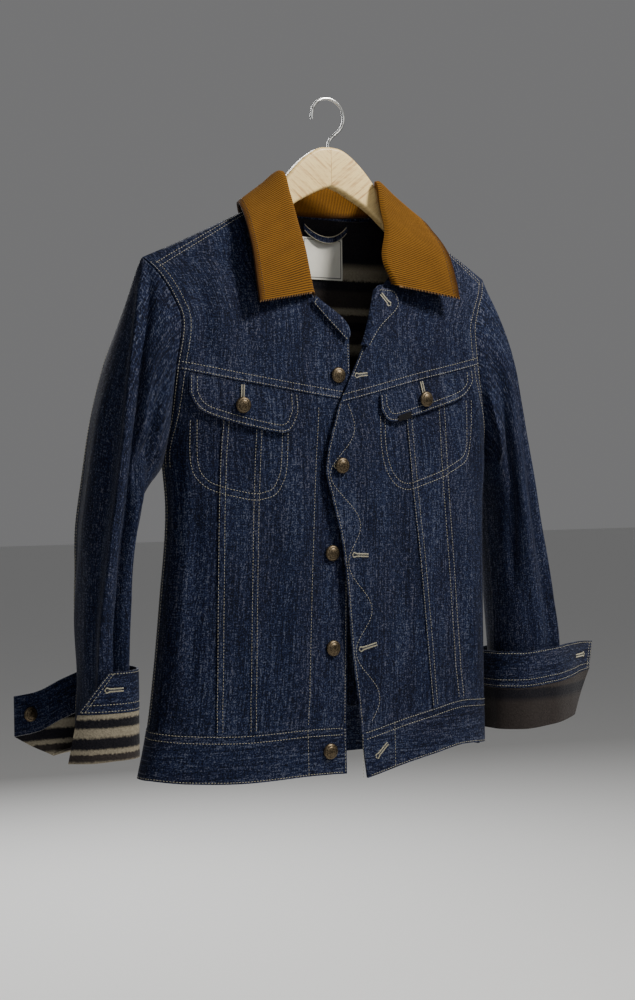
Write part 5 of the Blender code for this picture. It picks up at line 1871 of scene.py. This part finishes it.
def lapel_at(share, row, right):
    """A place on the shown side of a lapel: the share runs from the roll to the edge."""
    neck = NECK_RIGHT if right else NECK_LEFT
    edge = LAPEL_RIGHT if right else LAPEL_LEFT
    down = blend(edge(0, "neck"), edge(1, "neck"), row)
    roll = Vector((neck(down, "across"), neck(down, "height")))
    tip = Vector((edge(row, "across"), edge(row, "height")))
    stand = LAPEL_STAND(share, "stand") + in_mm("denim")
    return front_at(*roll.lerp(tip, share), stand, right)


def lapel_stitching(thread, right):
    """A row round the top, the outer edge and the foot of a lapel."""
    route = [(t, 0.05) for t in steps(0.1, 0.93, 16)]
    route += [(0.94, t) for t in steps(0.05, 0.98, 30)[1:]]
    thread.sew(lambda share, row: lapel_at(share, row, right), route)


def back_stitching(thread):
    """Rows above the back's yoke seam and down its side seams."""
    def back_place(x, z):
        return body_at(x, z, 0.0, back=True)

    for rise in (NEAR_ROW, FAR_ROW):
        z = BACK_SEAM + rise
        reach = [x_in_from_side(z, 3.0, right, back=True) for right in (False, True)]
        thread.sew(back_place, [(x, z) for x in steps(*reach, 150)])
    for right in (False, True):
        for distance in (2.0, 8.5):
            heights = steps(-204, -664, 130)
            thread.sew(back_place, [(x_in_from_side(z, distance, right, back=True), z)
                                    for z in heights])


def band_stitching(thread):
    """Rows along the waistband's top and foot, at its ends and beside its buttonhole."""
    for side, angles in BAND_ANGLES.items():
        back, right = side == "back", side == "right"

        def place(angle, row):
            return band_at(angle, row, back, right, angles)

        inner = angles[0] if back else angles[0] + (1.2 if right else -1.2)
        for down in (1.7, 8.6, WAISTBAND_HEIGHT - 1.8):
            thread.sew(place, [(angle, down / WAISTBAND_HEIGHT)
                               for angle in steps(inner, angles[1], 130)])
        if not back:
            for x in ((41.0, -2.4) if right else (-66.0, -19.0)):
                thread.sew(band_place_of(right), [(x, row) for row in steps(0.03, 0.97, 20)])


def band_place_of(right):
    """Places on one front's waistband, given across and the share of the way down."""
    top_line = BAND_RIGHT if right else BAND_LEFT

    def place(x, row):
        return front_at(x, top_line(x, "height") - row * WAISTBAND_HEIGHT, BAND_LIFT, right)
    return place


def sleeve_stitching():
    """Rows beside the sleeves' back seams, and round the cuffs' bands."""
    thread = Thread(5)
    back = sleeve_seams()[0]
    for right in (False, True):
        for degrees in (2.4, 11.5):
            thread.sew(lambda angle, step: sleeve_at(step, angle, right),
                       [(back + degrees, step) for step in steps(0.15, 8.9, 160)])
    for cuff in CUFFS:
        def place(share, row):
            return band_of_cuff_at(cuff, share, row)

        for row in (0.95, 0.215, 0.05):
            thread.sew(place, [(share, row) for share in steps(0.008, 0.992, 150)])
        for share in (0.006, 0.026, 0.974, 0.994):
            thread.sew(place, [(share, row) for row in steps(0.04, 0.96, 14)])
    thread.finish("sleeve_stitches", cream_thread(), "label")


def collar_stitching():
    """A tan row inside the collar's edge, and the ragged ends of the wales at the wings."""
    thread = Thread(6)
    wall = in_mm("corduroy") + in_mm("wale_height")
    thread.sew(collar_at, [(step, 6.72) for step in steps(0.12, 15.88, 500)], lift=wall - 0.05,
               thick=0.6)
    thread.finish("collar_stitches", thread_finish("tan thread", colours().corduroy_groove_shade_and_thread),
                  "corduroy")
    ends = Thread(7)
    for end, inner in ((0.0, 0.08), (16.0, 15.92)):
        for place in steps(3.4, 6.96, 23):
            here, normal = collar_at(end, place)
            away = (here - collar_at(inner, place)[0]).normalized()
            along = (collar_at(end, min(place + 0.1, 7))[0] - here).normalized()
            ends.stitch(here + normal * (wall - 1.3), away * 0.85 + along * 0.5, normal,
                        4.4, 1.9, 2.2)
    ends.finish("collar_wale_ends", corduroy_ends(), "corduroy")


def corduroy_ends():
    """Corduroy where its cut edge shows."""
    return thread_finish("cut corduroy", [c * 0.9 for c in colours().corduroy])


# Buttonholes: the place that they are on, where the narrow end and the eye are, and their side
BUTTONHOLES = (
    ("front", (14, -302.5), (-1.5, -304.5), True),
    ("front", (-14, -399.5), (-29, -400.5), True),
    ("front", (10.5, -496), (-9, -495), True),
    ("front", (17.5, -591), (-4, -596), True),
    ("band", (30, 0.42), (14, 0.63), True),
    ("flap", (-134.5, -316.5), (-135, -334), False),
    ("flap", (84.5, -309), (88.5, -325), True),
    ("lapel", (0.2, 0.14), (0.62, 0.34), True),
)


def buttonholes():
    """Satin stitches round each slit, with an eye at the end near the edge, and a dark bead along
    each slit that is painted shade of the open cut.
    """
    satin, slit_shade = Thread(8), Thread(9)
    for kind, start, eye, right in BUTTONHOLES:
        if kind == "lapel":
            place = functools.partial(lapel_at, right=right)
        elif kind == "band":
            place = band_place_of(right)
        else:
            place = on_front(right, FLAP_STAND(0.6, "stand") if kind == "flap" else 0.0)
        buttonhole(satin, slit_shade, place(*start), place(*eye))
    for cuff, share, reach in ((CUFFS[0], 0.085, 0.055), (CUFFS[1], 0.115, 0.055)):
        ends = [band_of_cuff_at(cuff, share + reach * t, 0.56) for t in (-0.8, 0.8)]
        buttonhole(satin, slit_shade, ends[1], ends[0])
    satin.finish("buttonhole_stitches", thread_finish("buttonhole silk", colours().thread),
                 "label")
    # The slit beads' dark colour is painted shade of each open cut
    slit_shade.finish("buttonhole_slit_shade", thread_finish("painted slit shade", (0.012, 0.014, 0.022)), "denim")


def buttonhole(satin, slit_shade, start, eye):
    """One keyhole: short stitches across a line that runs down one side and back up the other."""
    up = (start[1] + eye[1]).normalized()
    run = eye[0] - start[0]
    length = run.length
    along = run.normalized()
    side = up.cross(along).normalized()
    bow = 0.35
    for sign in (-1, 1):
        count = round(length / 0.62)
        for way in steps(0.0, length, count):
            swell = math.exp(-((way - length + 2.2) / 2.0) ** 2)
            close = ease((length - way) / 1.4)
            aside = (1.25 + 1.0 * swell) * close + 0.1
            middle = start[0] + along * way + side * sign * aside + up * bow
            turn = side * sign + along * satin.chance.uniform(-0.15, 0.3) * (1 + swell)
            satin.stitch(middle, turn, up, 1.7, 0.72, 0.75)
    # A dark bead along the slit: painted shade of the open cut between the satin rows
    middle = (start[0] + eye[0]) / 2 + up * bow
    slit_shade.stitch(middle, along, up, length * 0.9, 1.3, 0.8)


def trim_stitching():
    """Cream edges of the hanging loop."""
    thread = Thread(10)
    for row in (0.02, 0.98):
        thread.sew(loop_at, [(t, row) for t in steps(0.02, 0.98, 60)], lift=-0.2, length=2.2,
                   gap=-0.5, thick=1.1)
    thread.finish("trim_stitches", cream_thread(), "label")


# --- hanger

@functools.lru_cache(maxsize=None)
def wood(name, slope):
    """Light wood with long grain that runs down the arm."""
    tones = colours()
    s = Shader(name, 0.38, specular=0.4)
    where = s.solid()
    grain = s.noise(where, (46, 5, 2.6), detail=4.0, rough=0.6)
    turned = s.node("ShaderNodeMapping", Vector=where)
    turned.inputs["Rotation"].default_value = (0.0, math.radians(slope), 0.0)
    rings = s.noise(turned.outputs["Vector"], (60, 9, 3.2), detail=3.0, rough=0.55)
    pores = s.noise(turned.outputs["Vector"], (9, 1.5, 0.7), detail=2.0, rough=0.7)
    base = s.ramp(s.maths("ADD", s.maths("MULTIPLY", rings, 0.8), s.maths("MULTIPLY", grain, 0.2)),
                  (0.33, tones.wood_dark), (0.47, tones.wood),
                  (0.8, [min(1.0, c * 1.14) for c in tones.wood]))
    base = s.mix(s.ramp(pores, (0.36, 0.35), (0.5, 0.0)), base, tones.wood_dark)
    return s.finish(base, s.ramp(rings, (0.3, 0.45), (0.7, 0.32)), s.bump(pores, 0.2, 0.2))


def hanger_arm(right):
    """One wooden arm, cut to its outline and rounded along its edges."""
    outward = 1.0 if right else -1.0
    outs = refine([0.2, 28, 70, 174], 3.0)
    outline = [(outward * o, HANGER(o, "top")) for o in outs]
    outline += [(outward * o, HANGER(o, "bottom")) for o in reversed(outs)]
    bm = bmesh.new()
    thick = in_mm("hanger")
    ring = [bm.verts.new((x * MM, -thick / 2 * MM, z * MM)) for x, z in outline]
    face = bm.faces.new(ring)
    raised = bmesh.ops.extrude_face_region(bm, geom=[face], use_keep_orig=True)
    back = [g for g in raised["geom"] if isinstance(g, bmesh.types.BMVert)]
    bmesh.ops.translate(bm, vec=(0, thick * MM, 0), verts=back)
    rounded = [e for e in bm.edges if len({round(v.co.y, 6) for v in e.verts}) == 1
               and max(abs(v.co.x) for v in e.verts) > 0.3 * MM]
    bmesh.ops.bevel(bm, geom=rounded, offset=3.6 * MM, affect="EDGES", segments=6,
                    profile=0.5, material=-1)
    bmesh.ops.triangulate(bm, faces=[f for f in bm.faces if len(f.verts) > 4])
    side = "right" if right else "left"
    add_piece("hanger_wood_" + side, bm, wood("wood of the %s arm" % side, 38 * outward), "wood",
              "hanger_arm_" + side, smooth=35)


@functools.lru_cache(maxsize=None)
def steel():
    """Bright wire."""
    s = Shader("hook wire", 0.22, metallic=1.0)
    haze = s.noise(s.solid(), (1.5, 1.5, 6), detail=3.0)
    base = s.mix(haze, [c * 0.8 for c in colours().steel], colours().steel)
    return s.finish(base, s.ramp(haze, (0.3, 0.16), (0.7, 0.32)))


def hanger_hook():
    """Bent wire hook that stands in the top of the arms."""
    wire = in_mm("hook_wire")
    curve = bpy.data.curves.new("hook_route", "CURVE")
    curve.dimensions = "3D"
    curve.bevel_depth = wire / 2 * MM
    curve.bevel_resolution = 6
    curve.use_fill_caps = True
    centre = wire / 2 - HOOK_RADIUS
    foot = HANGER(0, "top") + 0.3
    route = [(0.0, foot), (0.0, foot + 2.5), (0.8, foot + 6.0), (3.4, foot + 10.0)]
    for degrees in range(-48, 193, 4):
        turn = math.radians(degrees)
        route.append((HOOK_RADIUS * math.cos(turn), centre + HOOK_RADIUS * math.sin(turn)))
    spline = curve.splines.new("POLY")
    spline.points.add(len(route) - 1)
    for point, (x, z) in zip(spline.points, route):
        point.co = (x * MM, 0.0, z * MM, 1.0)
    guide = link(bpy.data.objects.new("hook_route", curve))
    shape = guide.evaluated_get(bpy.context.evaluated_depsgraph_get())
    mesh = bpy.data.meshes.new_from_object(shape)
    bm = bmesh.new()
    bm.from_mesh(mesh)
    bpy.data.objects.remove(guide, do_unlink=True)
    bmesh.ops.remove_doubles(bm, verts=bm.verts[:], dist=0.00001)
    add_piece("hook_wire", bm, steel(), "steel", "hanger_hook")


# --- stage

CAMERA_PLACE = (-0.921, -1.5588, -0.436)
CAMERA_LENS = 59.72
CAMERA_YAW = 30.0
CAMERA_ROLL = 1.0
FLOOR_HEIGHT = -1.25


def camera():
    """The camera at the photograph's angle: a long look from the jacket's left front."""
    data = bpy.data.cameras.new("camera")
    data.sensor_width = 36.0
    data.lens = CAMERA_LENS
    data.clip_end = 50.0
    thing = link(bpy.data.objects.new("camera", data))
    yaw, roll = math.radians(CAMERA_YAW), math.radians(CAMERA_ROLL)
    level = Vector((math.cos(yaw), -math.sin(yaw), 0.0))
    ahead = Vector((math.sin(yaw), math.cos(yaw), 0.0))
    up = Vector((0.0, 0.0, 1.0))
    across = level * math.cos(roll) - up * math.sin(roll)
    upright = level * math.sin(roll) + up * math.cos(roll)
    turn = Matrix((across, upright, -ahead)).transposed().to_4x4()
    thing.matrix_world = Matrix.Translation(CAMERA_PLACE) @ turn
    bpy.context.scene.camera = thing


def area_light(name, place, target, size, power, shade=(1.0, 1.0, 1.0)):
    data = bpy.data.lights.new(name, "AREA")
    data.shape = "DISK"
    data.size = size
    data.energy = power
    data.color = shade
    thing = link(bpy.data.objects.new(name, data))
    way = Vector(target) - Vector(place)
    thing.rotation_mode = "QUATERNION"
    thing.rotation_quaternion = way.to_track_quat("-Z", "Y")
    thing.location = place


def floor():
    """A pale floor far below the hanging jacket."""
    bm = bmesh.new()
    bmesh.ops.create_grid(bm, x_segments=2, y_segments=2, size=30.0)
    bmesh.ops.translate(bm, vec=(0.0, 0.0, FLOOR_HEIGHT), verts=bm.verts[:])
    mesh = bpy.data.meshes.new("floor")
    bm.to_mesh(mesh)
    bm.free()
    s = Shader("pale floor", 0.9, specular=0.1)
    mesh.materials.append(s.finish((0.80, 0.80, 0.79)))
    thing = link(bpy.data.objects.new("floor", mesh))


def world():
    made = bpy.data.worlds.new("studio")
    made.use_nodes = True
    background = made.node_tree.nodes["Background"]
    background.inputs["Color"].default_value = (0.80, 0.80, 0.81, 1.0)
    background.inputs["Strength"].default_value = 0.22
    bpy.context.scene.world = made


# --- operators

class JACKET_OT_body(bpy.types.Operator):
    """Build the back, the yokes, the panels, the flaps, the lapels and the waistband"""
    bl_idname = "jacket.body"
    bl_label = "Body"

    def execute(self, context):
        back_yoke()
        back_body()
        for right in (False, True):
            front_yoke(right)
            front_panel(right)
            lapel(right)
            pocket_flap(right)
        waistbands()
        return {"FINISHED"}


class JACKET_OT_sleeves(bpy.types.Operator):
    """Build the sleeves and their turned-back ends"""
    bl_idname = "jacket.sleeves"
    bl_label = "Sleeves"

    def execute(self, context):
        for right in (False, True):
            sleeve(right)
        for cuff in CUFFS:
            turned_cuff(cuff)
        return {"FINISHED"}


class JACKET_OT_collar(bpy.types.Operator):
    """Build the corduroy collar"""
    bl_idname = "jacket.collar"
    bl_label = "Collar"

    def execute(self, context):
        collar()
        return {"FINISHED"}


class JACKET_OT_neck(bpy.types.Operator):
    """Build the lining, the label and the loop inside the neck, and the tab on the flap"""
    bl_idname = "jacket.neck"
    bl_label = "Lining and trims"

    def execute(self, context):
        back_lining()
        neck_trims()
        flap_tab()
        return {"FINISHED"}


class JACKET_OT_buttons(bpy.types.Operator):
    """Build the shank buttons"""
    bl_idname = "jacket.buttons"
    bl_label = "Buttons"

    def execute(self, context):
        buttons()
        return {"FINISHED"}


class JACKET_OT_stitching(bpy.types.Operator):
    """Sew the topstitching and the buttonholes"""
    bl_idname = "jacket.stitching"
    bl_label = "Stitching"

    def execute(self, context):
        body_stitching()
        sleeve_stitching()
        collar_stitching()
        buttonholes()
        trim_stitching()
        return {"FINISHED"}


class JACKET_OT_hanger(bpy.types.Operator):
    """Build the wooden arms and the wire hook"""
    bl_idname = "jacket.hanger"
    bl_label = "Hanger"

    def execute(self, context):
        hanger_arm(False)
        hanger_arm(True)
        hanger_hook()
        return {"FINISHED"}


class JACKET_OT_stage(bpy.types.Operator):
    """Set up the floor, the studio light and the camera"""
    bl_idname = "jacket.stage"
    bl_label = "Stage"

    def execute(self, context):
        camera()
        world()
        floor()
        middle = (0.0, 0.0, -0.42)
        area_light("key light", (0.72, -1.1, 0.95), middle, 0.4, 50, (1.0, 0.97, 0.92))
        area_light("fill light", (-0.9, -2.4, 0.4), middle, 1.6, 9, (0.92, 0.96, 1.0))
        area_light("back light", (0.5, 2.3, 0.7), middle, 1.4, 60)
        return {"FINISHED"}


STEPS = (JACKET_OT_stage, JACKET_OT_body, JACKET_OT_sleeves, JACKET_OT_collar, JACKET_OT_neck,
         JACKET_OT_buttons, JACKET_OT_stitching, JACKET_OT_hanger)


class JACKET_PT_panel(bpy.types.Panel):
    """The jacket's sizes, colours and steps"""
    bl_idname = "JACKET_PT_panel"
    bl_label = "Denim Jacket"
    bl_space_type = "VIEW_3D"
    bl_region_type = "UI"
    bl_category = "Jacket"

    def draw(self, context):
        for group in (context.scene.jacket_sizes, context.scene.jacket_colours):
            box = self.layout.box()
            for name in group.bl_rna.properties.keys():
                if name not in ("rna_type", "name"):
                    box.prop(group, name)
        for step in STEPS:
            self.layout.operator(step.bl_idname)


CLASSES = (JacketSizes, JacketColours, *STEPS, JACKET_PT_panel)


def register():
    for cls in CLASSES:
        bpy.utils.register_class(cls)
    bpy.types.Scene.jacket_sizes = PointerProperty(type=JacketSizes)
    bpy.types.Scene.jacket_colours = PointerProperty(type=JacketColours)


def unregister():
    del bpy.types.Scene.jacket_sizes
    del bpy.types.Scene.jacket_colours
    for cls in reversed(CLASSES):
        bpy.utils.unregister_class(cls)


def main():
    """Build everything."""
    register()
    for step in STEPS:
        group, name = step.bl_idname.split(".")
        getattr(getattr(bpy.ops, group), name)()


if __name__ == "__main__":
    main()
